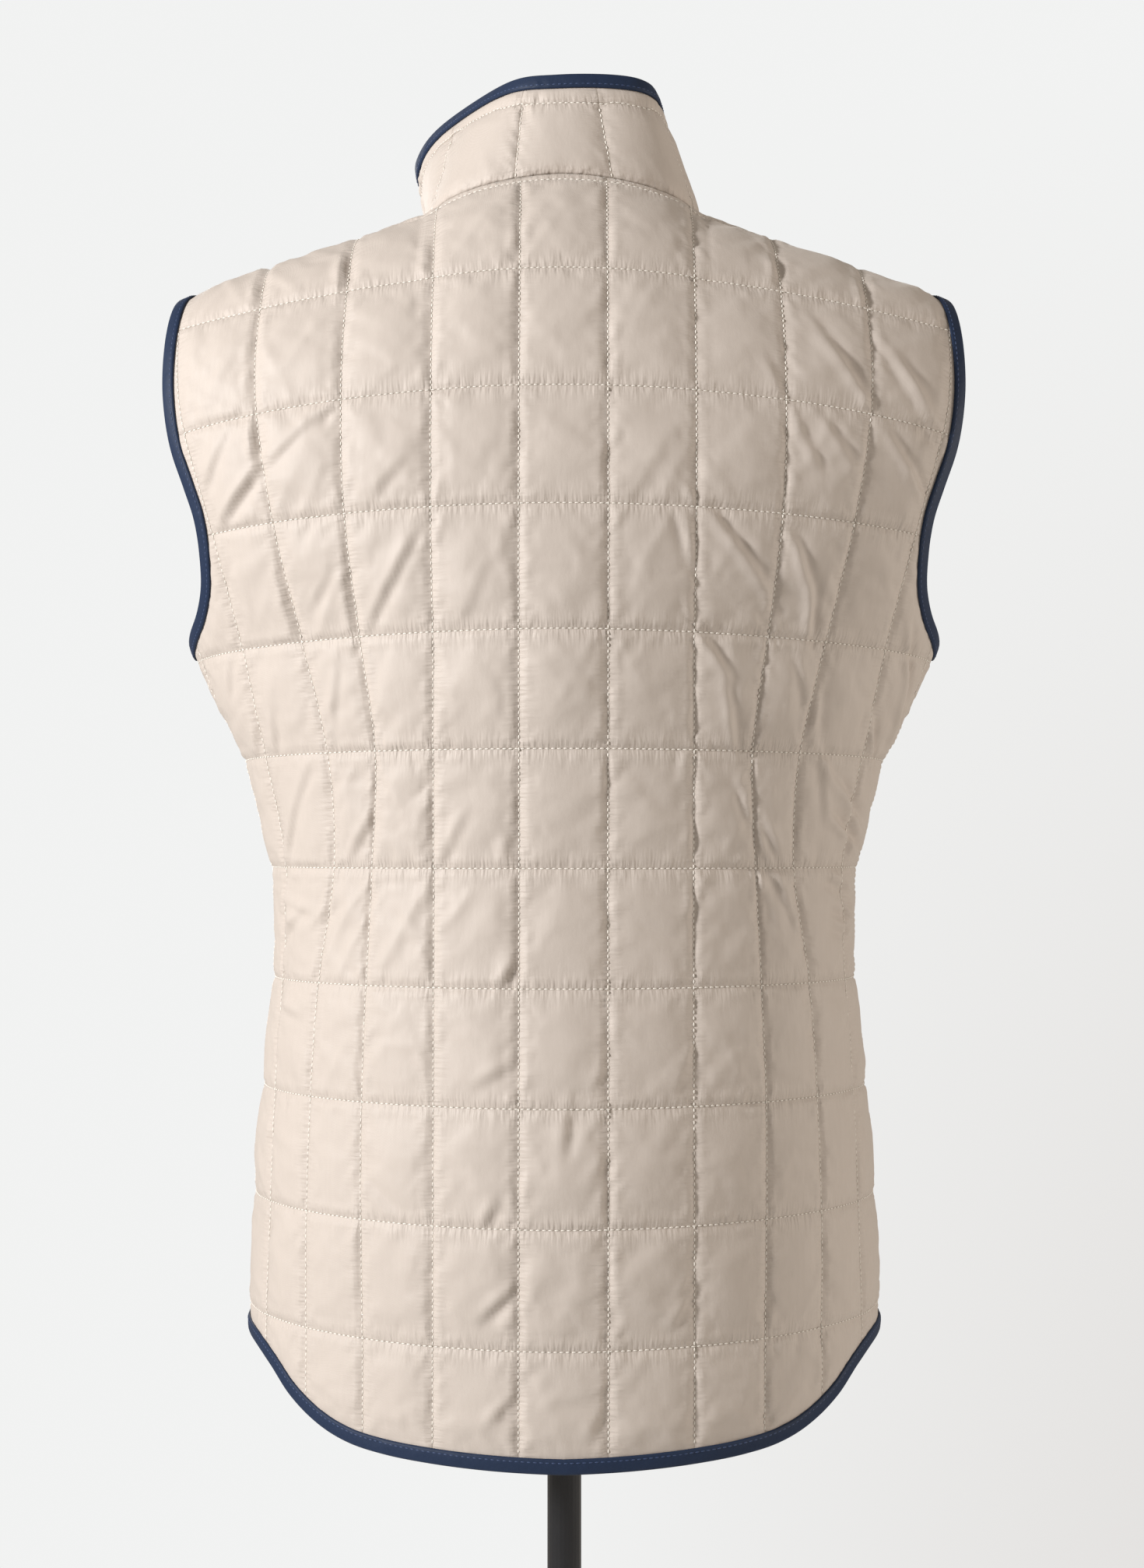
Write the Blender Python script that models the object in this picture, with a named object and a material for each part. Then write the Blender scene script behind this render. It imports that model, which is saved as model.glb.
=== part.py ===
"""Quilted sleeveless vest worn by a limbless dress form on a pole.

Metres, +Z up. The vest's front faces -Y, its back +Y and the wearer's left +X.
The origin is under the pole, on the floor. The vest's cloth is drawn as a sheet
with two cloth coordinates, both measured along the cloth: "across" from the centre
back or centre front round to the side seam, and "up" from the floor, along the body
and over the shoulder. Every panel is an outline in those coordinates.
"""
import math

import bmesh
import bpy
import numpy as np
from mathutils import Matrix, Vector
from mathutils.geometry import delaunay_2d_cdt

MM = 0.001

# ---- driving dimensions ----
WALL = 2.4 * MM                # cloth, wadding and lining, at a quilting line
PUFF = 4.0 * MM                # how far a quilted box stands out of the wall
SEAM_GAP = 0.3 * MM            # kept between pieces
BINDING_WIDTH = 7.0 * MM
BINDING_WALL = 0.9 * MM
FLAT_EDGE = 8.0 * MM           # unpuffed strip inside a bound edge
PUFF_RISE = 14.0 * MM          # further in, the boxes have their full height
HEM_CORNER_HEIGHT = 748 * MM   # hem at the side seams
UNDERARM_HEIGHT = 1121 * MM
CHEST_HEIGHT = 1157 * MM       # the back and front turn towards the shoulder above it
SHOULDER_Y = 30 * MM
NECK_SIDE_X = 75 * MM
SHOULDER_TIP_X = 206 * MM
RIDGE_HEIGHT = 1391 * MM       # the shoulder line, carried on to the centre of the neck
NECK_ARCH = 32 * MM            # how far it falls from there to the neck's side
SHOULDER_DROP = 43 * MM        # and from the neck's side to the tip
FRONT_EDGE_X = 5 * MM          # half of the strip that the zip shows between the fronts
ZIP_CLOSED_TO = 1215 * MM      # height at which the zip is open
POLE_RADIUS = 9.5 * MM
FORM_BOTTOM = 775 * MM
BASE_RADIUS = 180 * MM

BACK, FRONT = 1, -1
LEFT, RIGHT = 1, -1

# ---- the worn shape: one row for each height ----
# height, half width, centre back y, side seam y, centre front y, back and front roundness
TORSO = np.array((
    (680, 175, 130, -6, -122, 1.85, 2.0),
    (762, 175, 132, -5, -126, 1.85, 2.0),
    (839, 171, 134, -3, -124, 1.85, 2.0),
    (898, 165, 131, 3, -116, 1.87, 2.0),
    (940, 160, 127, 10, -108, 1.9, 1.95),
    (982, 158, 124, 15, -102, 1.9, 1.9),
    (1018, 163, 124, 17, -104, 1.88, 1.9),
    (1064, 176, 129, 17, -114, 1.8, 1.85),
    (1098, 193, 135, 18, -123, 1.65, 1.75),
    (1121, 204, 138, 19, -128, 1.58, 1.7),
    (1173, 222, 140, 20, -130, 1.8, 1.8),
    (1250, 250, 140, 20, -130, 2.0, 2.0),
    (1330, 262, 140, 20, -130, 2.0, 2.0)), float)
# how the chest profile rounds over the shoulder: exponents of height and of depth
SHOULDER_ROUNDING = {BACK: (2.2, 2.6), FRONT: (2.0, 2.0)}

# ---- the quilting ----
# height of each row at the centre, and how much lower it lies at the armhole
ROWS = np.array((
    (1500, 30), (1438, 27), (1377, 24), (1315, 20), (1250, 16), (1189, 9), (1126, 6), (1066, 2), (1005, 0),
    (944, 0), (884, 0), (824, 0), (763, 0), (702, 0), (641, 0)), float)[::-1]
DROP_ACROSS = 215 * MM         # where a row has dropped by its whole amount
# back columns: height, then the x of the third to fifth line from the centre (waist shaping)
BACK_COLUMNS = np.array((
    (680, 103, 135, 160), (763, 103, 135, 160), (824, 104, 135, 158), (884, 104, 133, 156),
    (944, 102, 129, 152), (1005, 99, 120, 149), (1066, 97, 123, 160), (1126, 105, 137, 172),
    (1188, 112, 151, 187), (1250, 114, 160, 203), (1312, 113, 160, 206), (1400, 110, 158, 206)), float)
COLUMN_SPACING = 45 * MM
COLUMN_COUNT = 6
CELL_STEPS = 3                 # mesh steps across a quilted box, outer points
PLAIN_STEPS = 2                # the same on the plain inside
EDGE_STEP = 14 * MM            # mesh step along the edges
EDGE_PROBE = 1.5 * MM          # how far in from an edge its direction is read

# ---- outlines, in cloth coordinates (across, up) in mm ----
BACK_HEM = ((0, 702.6), (40, 703.6), (70, 704.8), (95, 706.3), (117, 709), (131, 712.5), (145, 717.7),
            (162, 726), (182, 738), (200, 744.5), (220, 747.5), (243, 748))
FRONT_HEM = ((0, 712), (90, 712), (125, 714), (150, 719), (172, 726), (192, 735), (212, 743),
             (235, 748))
BACK_ARMHOLE = ((248, 1121), (237, 1130), (221, 1142), (213, 1155), (208.5, 1173), (208.5, 1190),
                (213, 1207), (219, 1226), (222.5, 1256), (222, 1284), (219, 1315), (213.3, 1345.2))
FRONT_ARMHOLE = ((269, 1121), (245, 1127), (216, 1142), (199, 1165), (191, 1190), (190, 1225),
                 (197, 1263), (208, 1305), (214, 1335), (217.3, 1364.8))
BACK_NECK = ((75.2, 1411.6), (71, 1394), (60, 1384), (45, 1381.5), (25, 1381.5), (0, 1382.5))
# the front neck, from the shoulder to the open end of the zip, on each side
FRONT_NECK = {LEFT: ((75.4, 1437.5), (75, 1416), (73, 1396), (68, 1366), (60, 1338)),
              RIGHT: ((75.4, 1437.5), (75, 1415), (71, 1390), (58, 1358), (36, 1328))}

# ---- large folds: side, ends (across, up), half width and height, mm ----
FOLDS = (
    (BACK, 150, 1150, 118, 1075, 9, 3.0), (BACK, 128, 1110, 100, 1040, 8, -2.5),
    (BACK, 188, 1120, 150, 1045, 9, 2.5), (BACK, 130, 1000, 150, 945, 9, 2.5),
    (BACK, -118, 1090, -96, 1010, 8, 3.0), (BACK, -140, 1150, -112, 1080, 9, 2.5),
    (BACK, -132, 1000, -118, 930, 9, 2.5), (BACK, -165, 1080, -140, 1020, 8, -2.5),
    (BACK, 182, 990, 150, 972, 8, 3.0), (BACK, -188, 985, -160, 962, 8, 2.5),
    (FRONT, 150, 1165, 110, 1130, 9, 3.0), (FRONT, -150, 1160, -112, 1122, 9, 3.0),
    (FRONT, 180, 1010, 130, 985, 9, 3.0), (FRONT, -178, 1000, -132, 978, 9, 3.0))

# ---- collar: share of the neck seam from the wearer's left front end, top x, y, z in mm ----
COLLAR_TOP = np.array((
    (0.0, 78, -52, 1400), (0.149, 84, -25, 1414), (0.245, 68, 4, 1424), (0.312, 42, 45, 1427),
    (0.478, 3, 77, 1427), (0.596, -38, 72, 1427), (0.705, -50, 48, 1424), (0.805, -51, 2, 1420),
    (1.0, -38, -50, 1402)), float)
COLLAR_RISE = (0.0, 0.09, 0.3, 0.5, 0.7, 0.83, 0.87, 1.0)       # mesh rows, share of the height
COLLAR_PUFF = (0.0, 0.45, 0.95, 1.0, 0.9, 0.05, 0.0, 0.0)       # how full the boxes are there
COLLAR_COLUMN_SHARE = 0.129    # a quilted box's share of the neck seam
COLLAR_FIRST_COLUMN = 0.143
COLLAR_FLAT_END = 0.04         # share of the seam over which the boxes fade out at each end

# ---- zip slider and pull tab, in mm from where the zip is open ----
SLIDER_PLATE = (4.2, -2.0, 14.0, 0.2, 1.8)      # half width, low, high, back and front face
SLIDER_POST = (0.9, 11.0, 13.4)                 # half width, low, high
BAIL = (0.8, 1.5, 11.0, 5.3, 1.4)               # half width, low, high, outer face, bar
TAB_AXIS = (4.1, 2.95)                          # up the zip and out of it
TAB = (4.0, 26.0, 0.5)                          # half width, length, half thickness
TAB_SLOT = (2.2, 0.5, 5.1)                      # half width, from and to below the axis

# ---- dress form ----
FORM_CLEARANCE = 7.0 * MM      # inside the cloth at the chest and back
FORM_SEAT = 0.5 * MM           # under the cloth along the shoulder line
FORM_SEAT_FROM_X = 105 * MM     # nearer the neck the form lies lower, by up to the hollow
FORM_SEAT_FADE = 30 * MM
FORM_NECK_HOLLOW = 2.5 * MM
# height, half width of the body, which has no arms
FORM_WIDTH = np.array((
    (775, 158), (839, 160), (898, 155), (940, 150), (982, 148), (1018, 151), (1064, 158),
    (1098, 163), (1121, 166), (1173, 168), (1250, 174), (1330, 186)), float)
FORM_RINGS_BELOW = (775, 778, 820, 870, 915, 960, 1005, 1050, 1100, 1157)
FORM_RINGS_ABOVE = (0.2, 0.4, 0.58, 0.74, 0.86, 0.94, 0.98, 1.0)
FORM_COLUMNS = 22              # points from centre back round the side to centre front
# neck: height, half width, half depth
FORM_NECK = ((1300, 60, 52), (1350, 56, 50), (1375, 51, 47), (1388, 47, 44), (1393, 42, 39),
             (1396, 33, 31), (1397, 20, 19))
FORM_NECK_Y = 26 * MM
FORM_CORNER = 0.45             # how square the form's sides are, from 0 to 1
FORM_TOP_CLEARANCE = 1.2       # share by which the clearance grows up to the shoulder line

CLOTH = ((0.72, 0.66, 0.58), 0.5, 0.0)
NAVY = ((0.03, 0.055, 0.13), 0.5, 0.0)
LINEN = ((0.78, 0.74, 0.66), 0.9, 0.0)
BLACK = ((0.02, 0.02, 0.022), 0.4, 0.0)
TAPE = ((0.06, 0.08, 0.13), 0.8, 0.0)
METAL = ((0.45, 0.43, 0.40), 0.3, 1.0)


def clear_scene():
    for thing in list(bpy.data.objects):
        bpy.data.objects.remove(thing, do_unlink=True)


def material(name, finish):
    colour, roughness, metallic = finish
    made = bpy.data.materials.new(name)
    made.use_nodes = True
    shader = made.node_tree.nodes["Principled BSDF"]
    shader.inputs["Base Color"].default_value = (*colour, 1.0)
    shader.inputs["Roughness"].default_value = roughness
    shader.inputs["Metallic"].default_value = metallic
    return made


def add_mesh(name, points, faces, finish, smooth_angle=None, recalculate=True):
    """One closed body from points and faces, with its own material."""
    mesh = bpy.data.meshes.new(name)
    mesh.from_pydata([tuple(map(float, point)) for point in points], [], faces)
    work = bmesh.new()
    work.from_mesh(mesh)
    bmesh.ops.remove_doubles(work, verts=work.verts, dist=0.02 * MM)
    if recalculate:
        bmesh.ops.recalc_face_normals(work, faces=work.faces)
    work.to_mesh(mesh)
    work.free()
    if smooth_angle is not None:
        mesh.shade_smooth()
        mesh.set_sharp_from_angle(angle=math.radians(smooth_angle))
    thing = bpy.data.objects.new(name, mesh)
    bpy.context.scene.collection.objects.link(thing)
    mesh.materials.append(material(name, finish))
    return thing


# ---- curves through short tables ----

def smooth_column(at, places, values):
    """A smooth curve through a table's column, read at the given places."""
    at = np.clip(at, places[0], places[-1])
    slope = np.gradient(values, places)
    row = np.clip(np.searchsorted(places, at, side="right") - 1, 0, len(places) - 2)
    step = places[row + 1] - places[row]
    t = (at - places[row]) / step
    return ((1 + 2 * t) * (1 - t) ** 2 * values[row] + t * (1 - t) ** 2 * step * slope[row]
            + t * t * (3 - 2 * t) * values[row + 1] + t * t * (t - 1) * step * slope[row + 1])


def spaced(points, spacing):
    """Points at an even spacing along a smooth line through the given ones."""
    points = np.array(points, float)
    length = np.concatenate([[0.0], np.cumsum(np.linalg.norm(np.diff(points, axis=0), axis=1))])
    count = max(2, int(round(length[-1] / spacing)) + 1)
    at = np.linspace(0.0, length[-1], count)
    return np.stack([smooth_column(at, length, points[:, k]) for k in range(points.shape[1])], 1)


# ---- the worn surface ----

def torso(height, column):
    return smooth_column(np.asarray(height) / MM, TORSO[:, 0], TORSO[:, column])


def section(side, height, steps=61):
    """Half of the horizontal outline at each height, as x and y along it."""
    half_width = torso(height, 1) * MM
    centre = torso(height, 2 if side == BACK else 4) * MM
    seam = torso(height, 3) * MM
    power = 2 / torso(height, 5 if side == BACK else 6)
    angle = np.linspace(0, math.pi / 2, steps)
    x = half_width[..., None] * np.sin(angle) ** power[..., None]
    y = seam[..., None] + (centre - seam)[..., None] * np.cos(angle) ** power[..., None]
    return x, y


def lengths_along(x, y):
    step = np.hypot(np.diff(x, axis=-1), np.diff(y, axis=-1))
    return np.concatenate([np.zeros(step.shape[:-1] + (1,)), np.cumsum(step, axis=-1)], axis=-1)


def walk(x, y, distance):
    """The points that lie the given distances along the curves x, y."""
    length = lengths_along(x, y)
    out = np.array([(np.interp(d, a, px), np.interp(d, a, py))
                    for d, a, px, py in zip(distance, length, x, y)])
    return out[:, 0], out[:, 1]


def ridge_height(x):
    """Height of the shoulder line above x; it slopes from the neck to the tip."""
    arch = NECK_ARCH * np.minimum(x / NECK_SIDE_X, 1.0) ** 2
    slope = SHOULDER_DROP * np.maximum(x - NECK_SIDE_X, 0.0) / (SHOULDER_TIP_X - NECK_SIDE_X)
    return RIDGE_HEIGHT - arch - slope


def shoulder_profile(side, x, y, steps=61):
    """The curve from the chest, at y, up and over to the shoulder line."""
    rise_power, reach_power = SHOULDER_ROUNDING[side]
    angle = np.linspace(0, math.pi / 2, steps)
    height = (ridge_height(x) - CHEST_HEIGHT)[..., None] * np.sin(angle) ** (2 / rise_power)
    reach = SHOULDER_Y + (y - SHOULDER_Y)[..., None] * np.cos(angle) ** (2 / reach_power)
    return reach, height


def smooth_cloth(side, across, up):
    """The worn surface without folds: x, y, z for the cloth coordinates."""
    x, y = walk(*section(side, up), np.abs(across))
    reach, rise = walk(*shoulder_profile(side, x, y), np.maximum(up - CHEST_HEIGHT, 0.0))
    above = up > CHEST_HEIGHT
    return np.stack([x * np.sign(across), np.where(above, reach, y),
                     np.where(above, CHEST_HEIGHT + rise, up)], 1)


def cloth_frame(side, flat):
    """Places and outward directions of the cloth at rows of (across, up)."""
    step = 0.6 * MM
    across, up = flat[:, 0], flat[:, 1]
    x, y = walk(*section(side, up), np.abs(across))
    shoulder_line = CHEST_HEIGHT + lengths_along(*shoulder_profile(side, x, y))[:, -1]
    up = np.minimum(up, shoulder_line - SEAM_GAP / 3)
    inward = np.where(across >= 0, -step, step)
    place = smooth_cloth(side, across, up)
    to_centre = smooth_cloth(side, across + inward, up) - place
    down = smooth_cloth(side, across, up - step) - place
    out = np.cross(to_centre, down)
    out /= np.linalg.norm(out, axis=1)[:, None]
    from_axis = place * (1.0, 1.0, 0.1)
    out *= np.sign(np.sum(out * from_axis, axis=1))[:, None]
    return place + out * fold_height(side, flat)[:, None], out


def fold_height(side, flat):
    total = np.zeros(len(flat))
    for fold_side, across_a, up_a, across_b, up_b, half_width, height in FOLDS:
        if fold_side != side:
            continue
        start = np.array([across_a, up_a]) * MM
        run = np.array([across_b, up_b]) * MM - start
        share = np.clip((flat - start) @ run / (run @ run), 0.0, 1.0)
        away = np.linalg.norm(flat - start - share[:, None] * run, axis=1) / (half_width * MM)
        total += height * MM * np.exp(-away ** 2) * np.sin(math.pi * (0.1 + 0.8 * share))
    return total


def side_length(side, height):
    """Cloth from the centre line round to the side seam."""
    height = np.atleast_1d(height)
    return lengths_along(*section(side, height))[:, -1]


def shoulder_seam(side, x):
    """Cloth coordinates of the shoulder line at each x."""
    across, up = np.array(x, float), np.full(len(x), 1.37)
    for _ in range(40):
        cloth_x, y = walk(*section(side, up), across)
        across += x - cloth_x
        up = CHEST_HEIGHT + lengths_along(*shoulder_profile(side, x, y))[:, -1]
    return np.stack([across, up - SEAM_GAP / 2], 1)


# ---- quilting lines ----

def row_height(row, across):
    """Height of row number `row`, which may lie between two rows."""
    numbers = np.arange(len(ROWS), dtype=float)
    centre = np.interp(row, numbers, ROWS[:, 0]) * MM
    drop = np.interp(row, numbers, ROWS[:, 1]) * MM
    return centre - drop * (across / DROP_ACROSS) ** 2


def column_lines(side, up):
    """Distance across to the centre line and to each column, at each height."""
    up = np.atleast_1d(up)
    if side == FRONT:
        return FRONT_EDGE_X + COLUMN_SPACING * (np.arange(COLUMN_COUNT + 1) - 0.5) * np.ones((len(up), 1))
    lines = [np.full(len(up), COLUMN_SPACING * (k - 0.5)) for k in range(3)]
    x, y = section(BACK, up)
    length = lengths_along(x, y)
    for column in range(1, BACK_COLUMNS.shape[1]):
        at = smooth_column(up / MM, BACK_COLUMNS[:, 0], BACK_COLUMNS[:, column]) * MM
        lines.append(np.array([np.interp(a, px, l) for a, px, l in zip(at, x, length)]))
    lines.append(lines[-1] + COLUMN_SPACING)
    return np.stack(lines, 1)


def quilt_points(side, hand, steps):
    """Grid points of one half: (across, up), puff share, and whether on a quilting line."""
    places, puffs = [], []
    for row_step in range((len(ROWS) - 1) * steps + 1):
        row = row_step / steps
        for column_step in range(COLUMN_COUNT * steps + 1):
            column = column_step / steps
            across = COLUMN_SPACING * (column - 0.5)
            for _ in range(4):
                up = row_height(row, across)
                across = np.interp(column, np.arange(COLUMN_COUNT + 1), column_lines(side, up)[0])
            if across < 0.1 * MM:
                continue
            places.append((hand * across, float(up)))
            full = abs(math.sin(math.pi * row) * math.sin(math.pi * column))
            puffs.append(math.sqrt(full) if full > 1e-6 else 0.0)
    return np.array(places), np.array(puffs)


def away_from_line(points, line):
    """Distance from each point to an open line."""
    nearest = np.full(len(points), 1e9)
    for a, b in zip(line[:-1], line[1:]):
        run = b - a
        share = np.clip((points - a) @ run / max(run @ run, 1e-12), 0.0, 1.0)
        nearest = np.minimum(nearest, np.linalg.norm(points - a - share[:, None] * run, axis=1))
    return nearest


def inside(points, outline):
    hits = np.zeros(len(points), bool)
    for a, b in zip(outline, np.roll(outline, -1, axis=0)):
        crosses = (a[1] > points[:, 1]) != (b[1] > points[:, 1])
        rise = b[1] - a[1] if b[1] != a[1] else 1e-12
        hits ^= crosses & (points[:, 0] < a[0] + (b[0] - a[0]) * (points[:, 1] - a[1]) / rise)
    return hits


# ---- edges ----

class Edge:
    """A run of a panel's outline, with the direction that leads out of the cloth."""

    def __init__(self, side, flat, first_out=None, last_out=None, turn=1):
        self.side, self.flat = side, flat
        run = np.gradient(flat, axis=0)
        run /= np.linalg.norm(run, axis=1)[:, None]
        self.out = np.stack([run[:, 1], -run[:, 0]], 1) * turn
        for index, given in ((0, first_out), (-1, last_out)):
            if given is not None:
                given = np.array(given, float) / np.linalg.norm(given)
                self.out[index] = given / max(abs(given @ self.out[index]), 0.5)

    def at(self, distance):
        """The cloth coordinates that lie this far out of the edge, or in if negative."""
        return self.flat + self.out * distance

    def stations(self):
        """Edge place and its outward direction, the same at the binding's inner edge, and the
        direction that leads off the edge."""
        edge, edge_out = cloth_frame(self.side, self.flat)
        near, _ = cloth_frame(self.side, self.at(-EDGE_PROBE))
        inner, inner_out = cloth_frame(self.side, self.at(-BINDING_WIDTH))
        away = (edge - near) / EDGE_PROBE
        return [edge, edge_out, inner, inner_out, away]


def join_stations(*parts):
    return [np.concatenate(arrays) for arrays in zip(*parts)]


def strip(name, stations, section_of, finish):
    """A solid strip with the same section at each station; section_of gives its corners."""
    rings = np.stack([section_of(*[array[k] for array in stations]) for k in range(len(stations[0]))])
    count, corners = rings.shape[:2]
    points = rings.reshape(-1, 3)
    faces = [list(range(corners))[::-1], [(count - 1) * corners + k for k in range(corners)]]
    for ring in range(count - 1):
        for corner in range(corners):
            following = (corner + 1) % corners
            a, b = ring * corners + corner, ring * corners + following
            faces.append([a, b, b + corners, a + corners])
    return add_mesh(name, points, faces, finish)


def binding_section(edge, edge_out, inner, inner_out, away):
    """Folded tape: a leg on each face of the cloth and a rounded turn round its edge."""
    near = WALL / 2 + SEAM_GAP
    far = near + BINDING_WALL
    return np.array([
        inner + inner_out * near, inner + inner_out * far, edge + edge_out * far,
        edge + away * (SEAM_GAP + 1.3 * BINDING_WALL), edge - edge_out * far,
        inner - inner_out * far, inner - inner_out * near,
        edge - edge_out * near + away * SEAM_GAP, edge + edge_out * near + away * SEAM_GAP])


def zip_section(edge, edge_out, inner, inner_out, away):
    """Half of a zip: a tape behind the cloth's edge and a row of teeth along it."""
    face = WALL / 2 + SEAM_GAP
    back = face + 0.7 * MM
    teeth_from, teeth_to = 2.6 * MM, FRONT_EDGE_X - SEAM_GAP / 2
    return np.array([
        inner - inner_out * face, edge + away * teeth_from - edge_out * face,
        edge + away * teeth_from - edge_out * 0.3 * MM, edge + away * teeth_to - edge_out * 0.3 * MM,
        edge + away * teeth_to - edge_out * (back + 0.6 * MM),
        edge + away * teeth_from - edge_out * (back + 0.6 * MM),
        edge + away * teeth_from - edge_out * back, inner - inner_out * back])


# ---- panels ----

def triangulate(points, outline_count, lines):
    """Triangles over flat points whose first ones are the outline, in order."""
    coordinates = [Vector((float(p[0]) * 1000, float(p[1]) * 1000)) for p in points]
    outline = list(range(outline_count))
    result = delaunay_2d_cdt(coordinates, lines, [outline], 1, 1e-4)
    original = [ids[0] for ids in result[3]]
    return [[original[k] for k in face] for face in result[2]]


def panel(name, side, hands, runs, bound, loose_lines=()):
    """A quilted wall. runs are the outline's stretches in order, bound the covered edges."""
    outline = np.concatenate([run[:-1] for run in runs])
    flat_lines = [edge.at(-FLAT_EDGE) for edge in bound]
    layers = []
    for steps, margin in ((CELL_STEPS, 4.2 * MM), (PLAIN_STEPS, 9.0 * MM)):
        parts = [quilt_points(side, hand, steps) for hand in hands]
        grid = np.concatenate([part[0] for part in parts])
        puff = np.concatenate([part[1] for part in parts])
        keep = inside(grid, outline)
        closed = np.concatenate([outline, outline[:1]])
        keep &= away_from_line(grid, closed) > margin
        for line in (*flat_lines, *loose_lines):
            keep &= away_from_line(grid, line) > margin * 0.8
        grid, puff = grid[keep], puff[keep]
        points, lines, height = [*outline], [], [0.0] * len(outline)
        for line in flat_lines:
            start = len(points)
            nearest = [int(np.argmin(np.linalg.norm(outline - end, axis=1))) for end in (line[0], line[-1])]
            chain = [nearest[0], *range(start, start + len(line) - 2), nearest[1]]
            points.extend(line[1:-1])
            height.extend([0.0] * (len(line) - 2))
            lines.extend(zip(chain[:-1], chain[1:]))
        for line in loose_lines:
            start = len(points)
            points.extend(line)
            height.extend([0.0] * len(line))
            lines.extend((k, k + 1) for k in range(start, start + len(line) - 1))
        rim = away_from_line(grid, closed)
        for edge in bound:
            rim = np.minimum(rim, away_from_line(grid, edge.flat) - FLAT_EDGE)
        fade = np.clip(rim / PUFF_RISE, 0.0, 1.0)
        points.extend(grid)
        height.extend(puff * fade ** 0.6 * PUFF)
        points = np.array(points)
        layers.append((points, np.array(height), triangulate(points, len(outline), lines)))
    (outer_flat, outer_height, outer_faces), (inner_flat, _, inner_faces) = layers
    outer, outer_out = cloth_frame(side, outer_flat)
    inner, inner_out = cloth_frame(side, inner_flat)
    outer = outer + outer_out * (WALL / 2 + outer_height)[:, None]
    inner = inner - inner_out * WALL / 2
    shift, count = len(outer), len(outline)
    faces = outer_faces + [[shift + k for k in face[::-1]] for face in inner_faces]
    for k in range(count):
        following = (k + 1) % count
        faces.append([following, k, shift + k, shift + following])
    return add_mesh(name, np.concatenate([outer, inner]), faces, CLOTH)


def side_seam(side):
    """Cloth coordinates up the side seam, from the hem to the underarm."""
    heights = [HEM_CORNER_HEIGHT, HEM_CORNER_HEIGHT + FLAT_EDGE]
    heights += [h * MM for h in range(774, 1110, 20)] + [UNDERARM_HEIGHT - FLAT_EDGE, UNDERARM_HEIGHT]
    heights = np.array(heights)
    return np.stack([side_length(side, heights) - SEAM_GAP / 2, heights], 1)


def shoulder_run(side):
    """Along the shoulder line, from the tip to the neck."""
    tip = SHOULDER_TIP_X - 0.5 * MM
    x = np.concatenate([[tip, tip - FLAT_EDGE], np.linspace(tip - 20 * MM, NECK_SIDE_X, 8)])
    return shoulder_seam(side, x)


def mirrored(run):
    return run[::-1] * np.array([-1.0, 1.0])


def build_back():
    seam, shoulder = side_seam(BACK), shoulder_run(BACK)
    hem = spaced(np.array(BACK_HEM) * MM, EDGE_STEP)
    hem[-1] = seam[0]
    armhole = spaced(np.array(BACK_ARMHOLE) * MM, EDGE_STEP)
    armhole[0], armhole[-1] = seam[-1], shoulder[0]
    neck = spaced(np.array(BACK_NECK) * MM, EDGE_STEP)
    neck[0] = shoulder[-1]
    half = [hem, seam, armhole, shoulder, neck]
    whole_hem = np.concatenate([mirrored(hem)[:-1], hem])
    down = seam[0] - seam[1]
    hem_edge = Edge(BACK, whole_hem, down * (-1, 1), down)
    arm_edges = {LEFT: Edge(BACK, armhole, seam[-1] - seam[-2], shoulder[0] - shoulder[1])}
    arm_edges[RIGHT] = Edge(BACK, armhole * (-1, 1), (seam[-1] - seam[-2]) * (-1, 1),
                            (shoulder[0] - shoulder[1]) * (-1, 1), turn=-1)
    runs = [whole_hem, *half[1:], *[mirrored(run) for run in half[:0:-1]]]
    panel("back", BACK, (LEFT, RIGHT), runs, [hem_edge, *arm_edges.values()])
    whole_neck = np.concatenate([neck, mirrored(neck)[1:]])
    return hem_edge, arm_edges, whole_neck


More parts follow.
